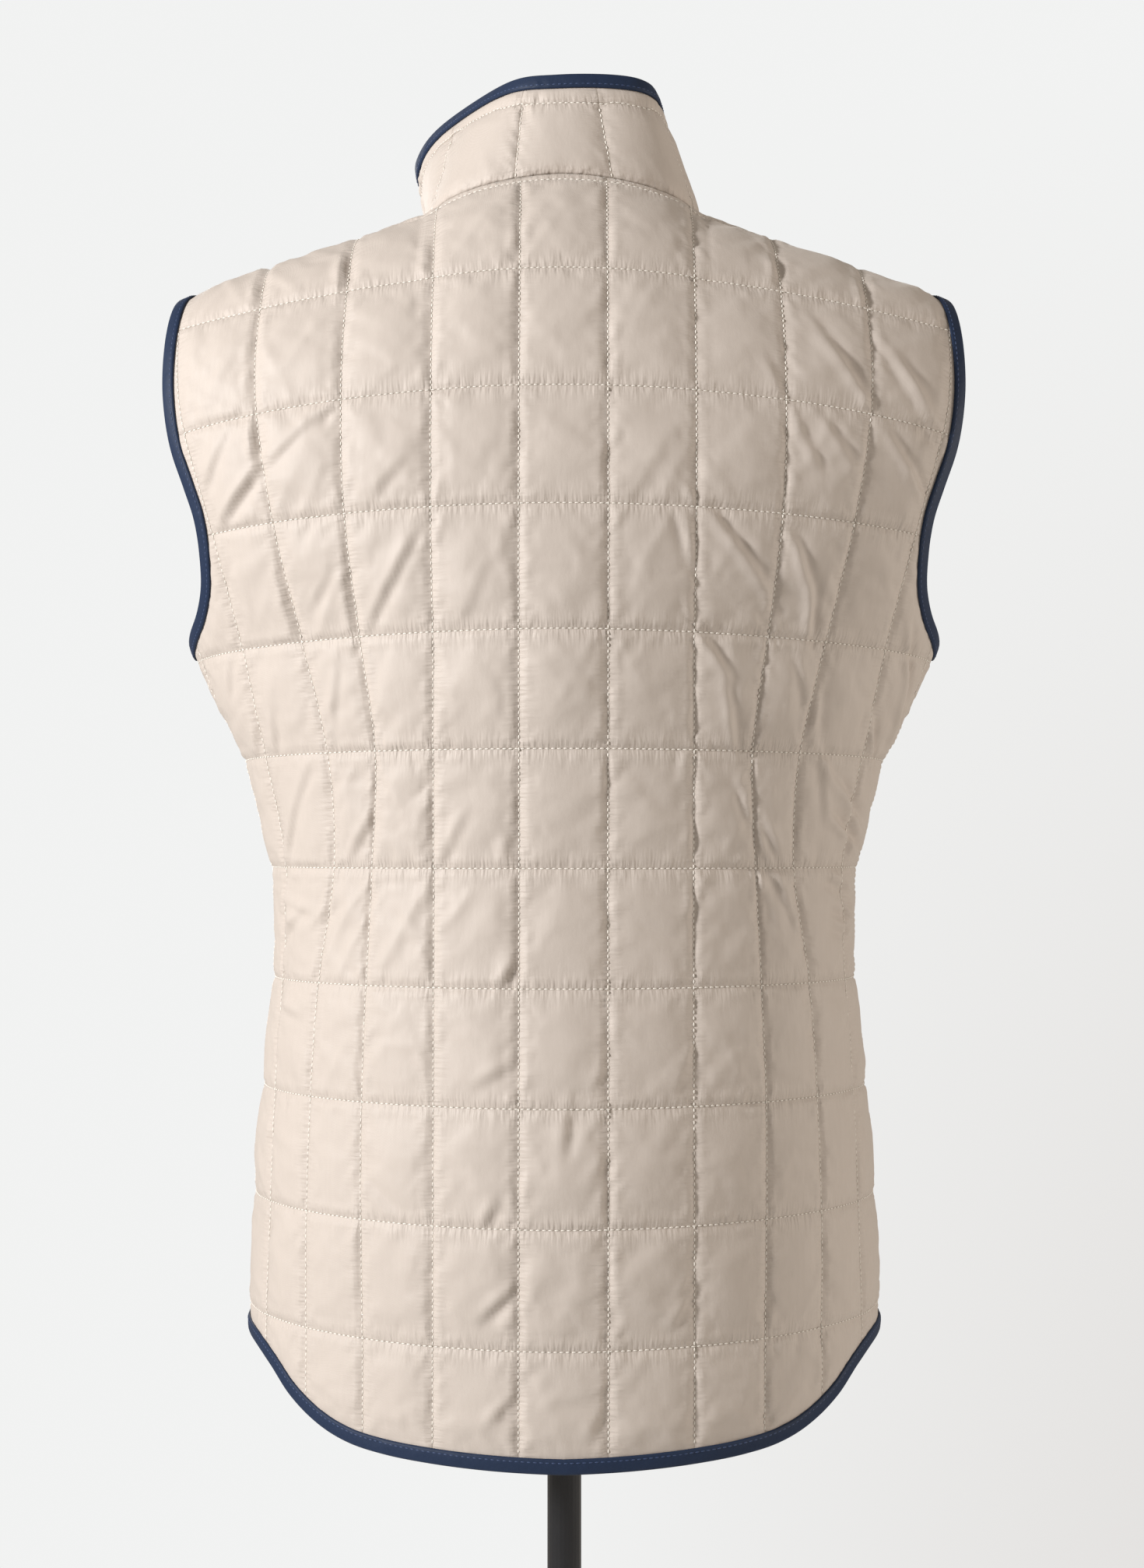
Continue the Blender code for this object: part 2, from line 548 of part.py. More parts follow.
def build_front(hand, name):
    seam, shoulder = side_seam(FRONT), shoulder_run(FRONT)
    hem = np.array(FRONT_HEM) * MM
    hem[0, 0] = FRONT_EDGE_X
    hem = spaced(hem, EDGE_STEP)
    hem[-1] = seam[0]
    armhole = spaced(np.array(FRONT_ARMHOLE) * MM, EDGE_STEP)
    armhole[0], armhole[-1] = seam[-1], shoulder[0]
    neck = spaced(np.array(FRONT_NECK[hand]) * MM, EDGE_STEP)
    neck[0] = shoulder[-1]
    foot, top = hem[0, 1], ZIP_CLOSED_TO
    closed_up = np.concatenate([[foot + FLAT_EDGE], np.linspace(foot + 26 * MM, top, 18)])
    closed_up = np.stack([np.full(len(closed_up), FRONT_EDGE_X), closed_up], 1)
    opened = spaced([closed_up[-1], neck[-1]], EDGE_STEP)
    opened[:, 0] -= 3 * MM * np.sin(np.linspace(0, math.pi, len(opened)))
    short_of_neck = neck[-1:] + (opened[-2] - neck[-1]) * 0.35
    front_edge = np.concatenate([hem[:1], closed_up, opened[1:-1], short_of_neck, neck[-1:]])
    down = seam[0] - seam[1]
    hem_edge = Edge(FRONT, hem, hem[0] - closed_up[0], down)
    arm_edge = Edge(FRONT, armhole, seam[-1] - seam[-2], shoulder[0] - shoulder[1])
    zip_edge = Edge(FRONT, front_edge, (-1.0, 0.0), None, turn=-1)
    runs = [hem, seam, armhole, shoulder, neck, front_edge[::-1]]
    edges = [hem_edge, arm_edge, zip_edge]
    if hand == RIGHT:
        runs = [run * (-1, 1) for run in runs]
        for edge in edges:
            edge.flat, edge.out = edge.flat * (-1, 1), edge.out * (-1, 1)
    zip_line = zip_edge.at(-FLAT_EDGE)[2:-1]
    panel(name, FRONT, (hand,), runs, [hem_edge, arm_edge], [zip_line])
    return hem_edge, arm_edge, zip_edge, runs[4]


# ---- collar ----

def neck_stations(back_neck, front_necks):
    """Round the neck edge, from the wearer's left front end to the right one."""
    left = Edge(FRONT, front_necks[LEFT]).stations()
    right = Edge(FRONT, front_necks[RIGHT], turn=-1).stations()
    back = Edge(BACK, back_neck).stations()
    for corner, front in ((0, left), (-1, right)):
        for array, front_array in zip(back, front):
            array[corner] = (array[corner] + front_array[0]) / 2
    left = [array[:0:-1] for array in left]
    right = [array[1:] for array in right]
    return join_stations(left, back, right)


def collar_grid(stations):
    """Rows of points up the collar, their outward directions and their shares along it."""
    edge, edge_out, _, _, away = stations
    base = edge + away * 1.5 * SEAM_GAP
    share = np.concatenate([[0.0], np.cumsum(np.linalg.norm(np.diff(base, axis=0), axis=1))])
    share /= share[-1]
    top = np.stack([smooth_column(share, COLLAR_TOP[:, 0], COLLAR_TOP[:, k]) for k in (1, 2, 3)], 1) * MM
    grid = np.stack([base + (top - base) * rise for rise in COLLAR_RISE])
    along = np.gradient(grid, axis=1)
    upward = np.repeat((top - base)[None], len(COLLAR_RISE), axis=0)
    out = np.cross(along, upward)
    out /= np.linalg.norm(out, axis=2)[:, :, None]
    middle = grid - np.array([0.0, 10 * MM, 0.0])
    out *= np.sign(np.sum(out * middle * (1, 1, 0), axis=2))[:, :, None]
    out[0] = edge_out
    return grid, out, share


def build_collar(stations):
    grid, out, share = collar_grid(stations)
    column = (share - COLLAR_FIRST_COLUMN) / COLLAR_COLUMN_SHARE
    full = np.sqrt(np.abs(np.sin(math.pi * column)))
    full *= np.clip(np.minimum(share, 1 - share) / COLLAR_FLAT_END, 0.0, 1.0)
    height = 0.75 * PUFF * np.array(COLLAR_PUFF)[:, None] * full[None, :]
    # the binding presses the top of the collar flat
    pressed = np.array(COLLAR_RISE) >= COLLAR_RISE[-2]
    half_wall = np.where(pressed, WALL / 2 - SEAM_GAP, WALL / 2)[:, None, None]
    outer = grid + out * (half_wall + height[:, :, None])
    inner = grid - out * half_wall
    rows, count = grid.shape[:2]
    shift = rows * count
    faces = []
    for row in range(rows - 1):
        for k in range(count - 1):
            a = row * count + k
            faces.append([a, a + 1, a + count + 1, a + count])
            faces.append([shift + a, shift + a + count, shift + a + count + 1, shift + a + 1])
    border = [(0, k) for k in range(count)] + [(row, count - 1) for row in range(1, rows)]
    border += [(rows - 1, k) for k in range(count - 2, -1, -1)]
    border += [(row, 0) for row in range(rows - 2, 0, -1)]
    border = [row * count + k for row, k in border]
    for a, b in zip(border, border[1:] + border[:1]):
        faces.append([a, shift + a, shift + b, b])
    add_mesh("collar", np.concatenate([outer.reshape(-1, 3), inner.reshape(-1, 3)]), faces, CLOTH)

    rise = grid[-1] - grid[0]
    rise /= np.linalg.norm(rise, axis=1)[:, None]
    leg_share = BINDING_WIDTH / np.linalg.norm(grid[-1] - grid[-2], axis=1)[:, None]
    leg_out = out[-1] + (out[-2] - out[-1]) * leg_share
    strip("binding_collar", [grid[-1], out[-1], grid[-1] - rise * BINDING_WIDTH, leg_out, rise],
          binding_section, NAVY)
    for name, end, step in (("zip_collar_left", 0, 1), ("zip_collar_right", -1, -1)):
        inward = grid[:, end + step] - grid[:, end]
        share_in = BINDING_WIDTH / np.linalg.norm(inward, axis=1)[:, None]
        inner_out = out[:, end] + (out[:, end + step] - out[:, end]) * share_in
        whole = [grid[:, end], out[:, end], grid[:, end] + inward * share_in, inner_out,
                 -inward * share_in / BINDING_WIDTH]
        foot = [array[:1] + (array[1:2] - array[:1]) * 0.3 for array in whole]
        strip(name, join_stations(foot, [array[1:-2] for array in whole]), zip_section, TAPE)


# ---- zip slider and pull tab, built on the zip's own directions ----

def zip_directions():
    """Where the zip is open: the cloth's place there, and its sideways, up and outward directions."""
    place, out = cloth_frame(FRONT, np.array([[0.1 * MM, ZIP_CLOSED_TO]]))
    place, out = place[0] * (0.0, 1.0, 1.0), out[0] * (0.0, 1.0, 1.0)
    out /= np.linalg.norm(out)
    sideways = np.array([1.0, 0.0, 0.0])
    return place, sideways, np.cross(out, sideways), out


def on_zip(points):
    """World places of points given as sideways, up the zip and out of it, in mm."""
    place, sideways, upward, out = zip_directions()
    return [place + (p[0] * sideways + p[1] * upward + p[2] * out) * MM for p in points]


def stack_of_rectangles(rows):
    """A closed body from rectangles: half width, lower and upper end, distance out, in mm."""
    points, faces = [], []
    for half_width, low, high, out in rows:
        points += [(-half_width, low, out), (half_width, low, out), (half_width, high, out),
                   (-half_width, high, out)]
    for ring in range(len(rows) - 1):
        for corner in range(4):
            a, b = 4 * ring + corner, 4 * ring + (corner + 1) % 4
            faces.append([a, b, b + 4, a + 4])
    faces += [[3, 2, 1, 0], [4 * len(rows) - 4 + corner for corner in range(4)]]
    return points, faces


def extruded_outline(outline, half_width):
    """An outline of (up, out) points, made half_width thick to each side, in mm."""
    count = len(outline)
    points = [(side * half_width, *corner) for side in (-1, 1) for corner in outline]
    faces = [list(range(count)), list(range(2 * count - 1, count - 1, -1))]
    for a in range(count):
        b = (a + 1) % count
        faces.append([a, a + count, b + count, b])
    return points, faces


def build_slider():
    half_width, low, high, back, front = SLIDER_PLATE
    post_half, post_low, post_high = SLIDER_POST
    rows = ((half_width, low + 3, high, -5.2), (half_width, low + 3, high, -3.7),
            (post_half, post_low, post_high, -3.7), (post_half, post_low, post_high, back),
            (half_width, low, high, back), (half_width, low, high, front - 0.5),
            (half_width - 0.6, low + 0.6, high - 0.6, front))
    points, faces = stack_of_rectangles(rows)
    slider = add_mesh("zip_slider", on_zip(points), faces, METAL)
    bar_half, bail_low, bail_high, outer, bar = BAIL
    outline = ((bail_low, 1.3), (bail_low, outer), (bail_high, outer), (bail_high, 1.3),
               (bail_high - bar, 1.3), (bail_high - bar, outer - bar), (bail_low + bar, outer - bar),
               (bail_low + bar, 1.3))
    points, faces = extruded_outline(outline, bar_half)
    bail = add_mesh("bail_shape", on_zip(points), faces, METAL)
    bail.hide_render, bail.display_type = True, "WIRE"
    joined = slider.modifiers.new("bail", "BOOLEAN")
    joined.operation, joined.object = "UNION", bail


def build_tab():
    up, out = TAB_AXIS
    half_width, length, half_thick = TAB
    slot_half, slot_from, slot_to = TAB_SLOT
    outer = [(-half_width + 0.8, -length), (half_width - 0.8, -length), (half_width, -length + 1.2),
             (half_width - 0.4, -8.0), (3.3, half_thick), (-3.3, half_thick), (-half_width + 0.4, -8.0),
             (-half_width, -length + 1.2)]
    slot = [(-slot_half, -slot_to), (slot_half, -slot_to), (slot_half, -slot_from),
            (-slot_half, -slot_from)]
    points = [(x, up + z, out + face * half_thick) for face in (-1, 1) for x, z in (*outer, *slot)]
    shift = len(outer) + len(slot)
    # the flat faces round the slot: outline corners, then slot corners
    flat = [[0, 1, 9, 8], [1, 2, 3, 9], [3, 4, 10, 9], [4, 5, 11, 10], [5, 6, 8, 11], [6, 7, 0, 8]]
    faces = [face[::-1] for face in flat] + [[k + shift for k in face] for face in flat]
    for ring in (range(8), range(8, 12)):
        ring = list(ring)
        for a, b in zip(ring, ring[1:] + ring[:1]):
            faces.append([a, b, b + shift, a + shift])
    tab = add_mesh("zip_puller", on_zip(points), faces, METAL)
    axis = Vector(on_zip([(0.0, up, out)])[0])
    tab.data.transform(Matrix.Translation(-axis))
    tab.location = axis


# ---- dress form, pole and base ----

def form_half_width(height):
    return smooth_column(np.asarray(height) / MM, FORM_WIDTH[:, 0], FORM_WIDTH[:, 1]) * MM


def section_depth(side, height, x):
    px, py = section(side, np.atleast_1d(height), steps=121)
    return np.interp(np.abs(x), px[0], py[0])


def form_ring(height, share):
    """One ring of the form: at a height below the chest, or at a share of the way to the shoulder."""
    angle = np.linspace(0, math.pi / 2, FORM_COLUMNS // 2 + 1)
    top = CHEST_HEIGHT + share * (ridge_height(SHOULDER_TIP_X) - CHEST_HEIGHT) if share else height
    x = form_half_width(top) * np.sin(angle)
    corner = np.cos(angle) ** FORM_CORNER
    middle = torso(min(height, CHEST_HEIGHT), 3) * MM
    ys = {}
    for side in (BACK, FRONT):
        reach = section_depth(side, min(height, CHEST_HEIGHT), x)
        clearance = FORM_CLEARANCE * (1 + FORM_TOP_CLEARANCE * share)
        reach = np.where(side * reach > side * middle, reach - side * clearance, middle)
        y = middle + (reach - middle) * corner
        if share:
            # the back's rounding sets the height, so each side's depth is read at that height
            rise_power, reach_power = SHOULDER_ROUNDING[side]
            y = SHOULDER_Y + (y - SHOULDER_Y) * max(1 - share ** rise_power, 0.0) ** (1 / reach_power)
        ys[side] = y
    z = np.full(len(x), height)
    if share:
        near_neck = np.clip((FORM_SEAT_FROM_X - x) / FORM_SEAT_FADE, 0.0, 1.0)
        seat = FORM_SEAT + 1.1 * WALL / 2 + FORM_NECK_HOLLOW * near_neck
        z = CHEST_HEIGHT + (ridge_height(x) - seat - CHEST_HEIGHT) * share
    right_back = np.stack([x, ys[BACK], z], 1)
    right_front = np.stack([x, ys[FRONT], z], 1)[::-1]
    right_front[0] = right_back[-1]
    half = np.concatenate([right_back, right_front[1:]])
    other = half[-2:0:-1] * (-1, 1, 1)
    return np.concatenate([half, other])


def loft(rings, cap_last=True):
    count = len(rings[0])
    points = np.concatenate(rings)
    faces = [list(range(count))]
    if cap_last:
        faces.append([len(points) - 1 - k for k in range(count)])
    for ring in range(len(rings) - 1):
        for k in range(count):
            a, b = ring * count + k, ring * count + (k + 1) % count
            faces.append([a, b, b + count, a + count])
    return points, faces


def build_form():
    rings = [form_ring(height * MM, 0) for height in FORM_RINGS_BELOW]
    rings[0] = rings[0] * (0.985, 0.985, 1)
    rings += [form_ring(CHEST_HEIGHT, share) for share in FORM_RINGS_ABOVE]
    points, faces = loft(rings, cap_last=False)
    body = add_mesh("form_torso", points, faces, LINEN, smooth_angle=50)
    turn = np.linspace(0, 2 * math.pi, 33)[:-1]
    neck_rings = [np.stack([wide * MM * np.cos(turn), FORM_NECK_Y + deep * MM * np.sin(turn),
                            np.full(32, height * MM)], 1) for height, wide, deep in FORM_NECK]
    points, faces = loft(neck_rings)
    neck = add_mesh("neck_shape", points, faces, LINEN)
    neck.hide_render, neck.display_type = True, "WIRE"
    joined = body.modifiers.new("neck", "BOOLEAN")
    joined.operation, joined.object = "UNION", neck


def turned(name, profile, finish, segments=36):
    """A body turned round the pole's axis; profile rows are radius and height in mm."""
    points, faces = [], []
    rings = []
    for radius, height in profile:
        if radius == 0:
            rings.append([len(points)])
            points.append((0, 0, height * MM))
            continue
        rings.append(list(range(len(points), len(points) + segments)))
        for k in range(segments):
            angle = 2 * math.pi * k / segments
            points.append((radius * MM * math.cos(angle), radius * MM * math.sin(angle), height * MM))
    for lower, upper in zip(rings[:-1], rings[1:]):
        for k in range(segments):
            following = (k + 1) % segments
            if len(lower) == 1:
                faces.append([lower[0], upper[k], upper[following]])
            elif len(upper) == 1:
                faces.append([lower[k], lower[following], upper[0]])
            else:
                faces.append([lower[k], lower[following], upper[following], upper[k]])
    return add_mesh(name, points, faces, finish, smooth_angle=40)


def build_stand():
    radius, gap = POLE_RADIUS / MM, SEAM_GAP / MM
    base, bottom = BASE_RADIUS / MM, FORM_BOTTOM / MM
    turned("base_plate", ((0, 0), (base - 1, 0), (base, 1), (base, 6), (base - 3, 8), (26, 9),
                          (20, 14), (19, 38), (18, 40), (radius + gap, 40), (radius + gap, 8),
                          (0, 8)), BLACK)
    turned("pole", ((0, 8 + gap), (radius, 8 + gap), (radius, bottom - 6), (0, bottom - 6)), BLACK, 24)
    turned("form_flange", ((0, bottom - gap), (50, bottom - gap), (50, bottom - 4), (20, bottom - 5),
                           (17, bottom - 8), (16, bottom - 40), (radius + gap, bottom - 40),
                           (radius + gap, bottom - 6 + gap), (0, bottom - 6 + gap)), BLACK, 24)


def build_vest():
    back_hem, back_arms, back_neck = build_back()
    strip("binding_hem_back", back_hem.stations(), binding_section, NAVY)
    necks = {}
    for hand, word in ((LEFT, "left"), (RIGHT, "right")):
        hem, arm, front_edge, necks[hand] = build_front(hand, "front_" + word)
        strip("binding_hem_front_" + word, hem.stations(), binding_section, NAVY)
        back_part, front_part = back_arms[hand].stations(), arm.stations()
        tip = [(a[-1:] + b[-1:]) / 2 for a, b in zip(back_part, front_part)]
        whole = join_stations([array[:-1] for array in back_part], tip,
                              [array[-2::-1] for array in front_part])
        strip("binding_armhole_" + word, whole, binding_section, NAVY)
        zip_run = [array[1:-1] for array in front_edge.stations()]
        strip("zip_" + word, zip_run, zip_section, TAPE)
    build_collar(neck_stations(back_neck, necks))


def main():
    clear_scene()
    build_vest()
    build_slider()
    build_tab()
    build_form()
    build_stand()


main()
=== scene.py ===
import math

import bmesh
import bpy
import numpy as np
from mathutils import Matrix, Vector
from mathutils.geometry import delaunay_2d_cdt


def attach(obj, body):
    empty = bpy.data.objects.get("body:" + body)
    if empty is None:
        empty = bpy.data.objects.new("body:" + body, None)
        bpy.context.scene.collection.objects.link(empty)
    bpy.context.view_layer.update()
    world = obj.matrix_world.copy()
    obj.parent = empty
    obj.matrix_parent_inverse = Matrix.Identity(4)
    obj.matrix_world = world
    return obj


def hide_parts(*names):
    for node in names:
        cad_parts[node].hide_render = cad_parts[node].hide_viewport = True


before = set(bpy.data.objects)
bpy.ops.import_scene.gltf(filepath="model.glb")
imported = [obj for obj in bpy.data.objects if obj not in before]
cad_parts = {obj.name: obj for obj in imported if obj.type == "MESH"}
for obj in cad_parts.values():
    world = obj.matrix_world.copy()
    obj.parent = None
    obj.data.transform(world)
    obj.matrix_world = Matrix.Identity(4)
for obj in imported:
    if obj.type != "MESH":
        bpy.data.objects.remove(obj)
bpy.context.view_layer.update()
MM = 0.001
BODY = "stand"

# ---------------------------------------------------------------------------
# The studio: a pale floor, a key light behind the vest on its left, weaker ones
# on its right and in front, and the camera behind it, at the height of its waist.
# ---------------------------------------------------------------------------
scene = bpy.context.scene
scene.view_settings.view_transform = "Standard"
BACKDROP, BACKDROP_SHADE = (0.885, 0.89, 0.885, 1), (0.775, 0.76, 0.745, 1)
ROOM_LIGHT = (0.315, 0.292, 0.262)


def link(thing):
    scene.collection.objects.link(thing)
    return thing


camera = link(bpy.data.objects.new("camera", bpy.data.cameras.new("camera")))
camera.location = (-0.0043, 1.231, 1.019)
camera.rotation_euler = (math.radians(91.5), 0, math.pi)
camera.data.lens = 50
camera.data.sensor_width = 36
scene.camera = camera


def soft_light(name, place, size, power, colour, aim=(0, 0, 1.08)):
    lamp = bpy.data.lights.new(name, "AREA")
    lamp.shape, lamp.size, lamp.energy, lamp.color = "DISK", size, power, colour
    thing = link(bpy.data.objects.new(name, lamp))
    thing.location = place
    thing.rotation_euler = (Vector(aim) - Vector(place)).to_track_quat("-Z", "Y").to_euler()


soft_light("key", (2.14, 1.43, 1.78), 0.4, 83, (0.985, 0.99, 1.0))
soft_light("front_key", (1.2, -2.4, 2.0), 1.2, 14, (1.0, 0.99, 0.98))
soft_light("fill", (-2.4, 0.35, 1.2), 1.0, 23, (1.0, 0.93, 0.85))


class Socket:
    """A shader value that can be used in arithmetic, which adds the nodes for it."""

    def __init__(self, tree, output):
        self.tree, self.output = tree, output

    def _math(self, operation, other, swapped=False):
        node = self.tree.nodes.new("ShaderNodeMath")
        node.operation = operation
        pair = (other, self) if swapped else (self, other)
        for socket, value in zip(node.inputs, pair):
            if isinstance(value, Socket):
                self.tree.links.new(value.output, socket)
            else:
                socket.default_value = value
        return Socket(self.tree, node.outputs[0])

    def __add__(self, other): return self._math("ADD", other)
    def __radd__(self, other): return self._math("ADD", other, True)
    def __sub__(self, other): return self._math("SUBTRACT", other)
    def __rsub__(self, other): return self._math("SUBTRACT", other, True)
    def __mul__(self, other): return self._math("MULTIPLY", other)
    def __rmul__(self, other): return self._math("MULTIPLY", other, True)
    def __rpow__(self, other): return self._math("POWER", other, True)


class Shading:
    """Nodes added to a node tree by type, with their settings and inputs."""

    def __init__(self, tree):
        self.tree = tree

    def node(self, kind, settings=None, output=0, values=(), **inputs):
        made = self.tree.nodes.new(kind)
        for name, value in (settings or {}).items():
            if name == "stops":
                ramp = made.color_ramp
                while len(ramp.elements) < len(value):
                    ramp.elements.new(0.5)
                for element, (place, colour) in zip(ramp.elements, value):
                    element.position, element.color = place, colour
            else:
                setattr(made, name, value)
        for number, value in enumerate(values):
            self.feed(made.inputs[number], value)
        for name, value in inputs.items():
            self.feed(made.inputs[name.replace("_", " ")], value)
        return None if output is None else Socket(self.tree, made.outputs[output])

    def feed(self, socket, value):
        if isinstance(value, Socket):
            self.tree.links.new(value.output, socket)
        else:
            socket.default_value = value

    def blend(self, share, first, second):
        made = self.tree.nodes.new("ShaderNodeMix")
        made.data_type = "RGBA"
        for name, value in (("Factor", share), ("A", first), ("B", second)):
            sockets = [s for s in made.inputs if s.name == name and s.enabled]
            self.feed(sockets[0], value)
        return Socket(self.tree, [s for s in made.outputs if s.enabled][0])


class Finish(Shading):
    """A material: its Principled shader takes uniform values by name, and what varies from set()."""

    def __init__(self, name, **shader_values):
        self.material = bpy.data.materials.new(name)
        self.material.use_nodes = True
        super().__init__(self.material.node_tree)
        self.shader = self.tree.nodes["Principled BSDF"]
        for socket, value in shader_values.items():
            self.shader.inputs[socket.replace("_", " ")].default_value = value

    def set(self, name, value):
        self.feed(self.shader.inputs[name], value)

    def place(self, scale=(1, 1, 1)):
        where = self.node("ShaderNodeTexCoord", output=3)
        return self.node("ShaderNodeMapping", Vector=where, Scale=scale)

    def noise(self, place, scale, detail=3.0, roughness=0.55):
        return self.node("ShaderNodeTexNoise", Vector=place, Scale=scale, Detail=detail, Roughness=roughness)

    def bump(self, height, distance, strength=1.0, before=None):
        inputs = {"Height": height, "Distance": distance, "Strength": strength}
        if before is not None:
            inputs["Normal"] = before
        return self.node("ShaderNodeBump", **inputs)


def light_the_room():
    """An even, slightly warm light from all round, in front of a near-white backdrop."""
    scene.world = bpy.data.worlds.new("studio")
    scene.world.use_nodes = True
    room = Shading(scene.world.node_tree)
    room.tree.nodes.clear()
    direction = room.node("ShaderNodeTexCoord")
    across, height = (room.node("ShaderNodeSeparateXYZ", output=k, Vector=direction) for k in (0, 2))
    right = room.node("ShaderNodeMapRange", Value=across, From_Min=0.02, From_Max=-0.25)
    down = room.node("ShaderNodeMapRange", Value=height, From_Min=0.33, From_Max=-0.3)
    backdrop = room.node("ShaderNodeBackground", Color=room.blend(right * down, BACKDROP, BACKDROP_SHADE))
    even = room.node("ShaderNodeBackground", Color=(*ROOM_LIGHT, 1))
    seen = room.node("ShaderNodeLightPath")
    lit = room.node("ShaderNodeMixShader", values=(seen, even, backdrop))
    room.node("ShaderNodeOutputWorld", output=None, Surface=lit)


light_the_room()


def make_floor():
    """A round pale floor that fades into the backdrop before the camera's frame reaches it."""
    bpy.ops.mesh.primitive_circle_add(vertices=96, radius=1.65, fill_type="NGON", location=(0, 0, 0))
    floor = bpy.context.object
    floor.name = "floor"
    pale = Finish("pale_floor", Roughness=0.9)
    pale.shader.inputs["Base Color"].default_value = (0.86, 0.87, 0.865, 1)
    place = pale.place()
    radius = pale.node("ShaderNodeVectorMath", {"operation": "LENGTH"}, output=1, Vector=place)
    fade = pale.node("ShaderNodeMapRange", {"interpolation_type": "SMOOTHSTEP"}, Value=radius,
                     From_Min=0.55, From_Max=1.6, To_Min=1.0, To_Max=0.0)
    pale.set("Alpha", fade)
    floor.data.materials.append(pale.material)


make_floor()

# ---------------------------------------------------------------------------
# The worn cloth. The vest is box-quilted polyester over thin wadding. Its cloth
# is followed in two measures along the cloth: across from the centre line to the
# side seam, and up from the floor over the body to the shoulder line.
# ---------------------------------------------------------------------------
WALL = 2.4 * MM
SEAM_GAP = 0.3 * MM
BINDING_WIDTH = 7.0 * MM
FLAT_EDGE = 7.5 * MM
HEM_CORNER_HEIGHT = 748 * MM
UNDERARM_HEIGHT = 1127 * MM
CHEST_HEIGHT = 1157 * MM
SHOULDER_Y = 30 * MM
NECK_SIDE_X = 75 * MM
SHOULDER_TIP_X = 206 * MM
RIDGE_HEIGHT = 1391 * MM       # the shoulder line, carried on to the centre of the neck
NECK_ARCH = 32 * MM            # how far it falls from there to the neck's side
SHOULDER_DROP = 43 * MM        # and from the neck's side to the tip
FRONT_EDGE_X = 5 * MM
ZIP_CLOSED_TO = 1215 * MM
BACK, FRONT = 1, -1
LEFT, RIGHT = 1, -1
# height, half width, centre back y, side seam y, centre front y, back and front roundness
TORSO = np.array((
    (680, 175, 130, -6, -122, 1.85, 2.0), (762, 175, 132, -5, -126, 1.85, 2.0),
    (839, 171, 134, -3, -124, 1.85, 2.0), (898, 165, 131, 3, -116, 1.87, 2.0),
    (940, 160, 127, 10, -108, 1.9, 1.95), (982, 158, 124, 15, -102, 1.9, 1.9),
    (1018, 163, 124, 17, -104, 1.88, 1.9), (1064, 176, 129, 17, -114, 1.8, 1.85),
    (1098, 193, 135, 18, -123, 1.65, 1.75), (1121, 204, 138, 19, -128, 1.58, 1.7),
    (1173, 222, 140, 20, -130, 1.8, 1.8), (1250, 250, 140, 20, -130, 2.0, 2.0),
    (1330, 262, 140, 20, -130, 2.0, 2.0)), float)
SHOULDER_ROUNDING = {BACK: (2.2, 2.6), FRONT: (2.0, 2.0)}
# large folds: side, ends (across, up), half width and height, mm
FOLDS = (
    (BACK, 128, 1110, 100, 1040, 8, -0.9), (BACK, -140, 1150, -112, 1080, 9, 0.9),
    (BACK, 182, 990, 150, 972, 8, 2.0), (BACK, -188, 985, -160, 962, 8, 1.5),
    (FRONT, 150, 1165, 110, 1130, 9, 3.0), (FRONT, -150, 1160, -112, 1122, 9, 3.0),
    (FRONT, 180, 1010, 130, 985, 9, 3.0), (FRONT, -178, 1000, -132, 978, 9, 3.0))


def smooth_column(at, places, values):
    """A smooth curve through a table's column, read at the given places."""
    at = np.clip(at, places[0], places[-1])
    slope = np.gradient(values, places)
    row = np.clip(np.searchsorted(places, at, side="right") - 1, 0, len(places) - 2)
    step = places[row + 1] - places[row]
    t = (at - places[row]) / step
    return ((1 + 2 * t) * (1 - t) ** 2 * values[row] + t * (1 - t) ** 2 * step * slope[row]
            + t * t * (3 - 2 * t) * values[row + 1] + t * t * (t - 1) * step * slope[row + 1])


def unit(vectors):
    return vectors / (np.linalg.norm(vectors, axis=-1, keepdims=True) + 1e-15)


def distances(points):
    """How far along a line each of its points lies."""
    return np.concatenate([[0.0], np.cumsum(np.linalg.norm(np.diff(points, axis=0), axis=1))])


def read_along(at, length, values):
    """A line's values, given at distances `length` along it, read at other distances."""
    return np.stack([np.interp(at, length, values[:, k]) for k in range(3)], 1)


def spaced(points, spacing):
    """Points at an even spacing along a smooth line through the given ones."""
    points = np.array(points, float)
    length = distances(points)
    at = np.linspace(0.0, length[-1], max(2, int(round(length[-1] / spacing)) + 1))
    return np.stack([smooth_column(at, length, points[:, k]) for k in range(points.shape[1])], 1)


def torso(height, column):
    return smooth_column(np.asarray(height) / MM, TORSO[:, 0], TORSO[:, column])


def section(side, height, steps=61):
    """Half of the horizontal outline at each height, as x and y along it."""
    half_width = torso(height, 1) * MM
    centre = torso(height, 2 if side == BACK else 4) * MM
    seam = torso(height, 3) * MM
    power = 2 / torso(height, 5 if side == BACK else 6)
    angle = np.linspace(0, math.pi / 2, steps)
    x = half_width[..., None] * np.sin(angle) ** power[..., None]
    y = seam[..., None] + (centre - seam)[..., None] * np.cos(angle) ** power[..., None]
    return x, y


def lengths_along(x, y):
    step = np.hypot(np.diff(x, axis=-1), np.diff(y, axis=-1))
    return np.concatenate([np.zeros(step.shape[:-1] + (1,)), np.cumsum(step, axis=-1)], axis=-1)


def walk(x, y, distance):
    """The points the given distances along the curves x, y, run on straight past their ends."""
    length = lengths_along(x, y)
    row = np.clip(np.sum(length <= distance[:, None], axis=1) - 1, 0, length.shape[1] - 2)
    one = np.arange(len(distance))
    share = (distance - length[one, row]) / (length[one, row + 1] - length[one, row])
    return tuple(c[one, row] + (c[one, row + 1] - c[one, row]) * share for c in (x, y))


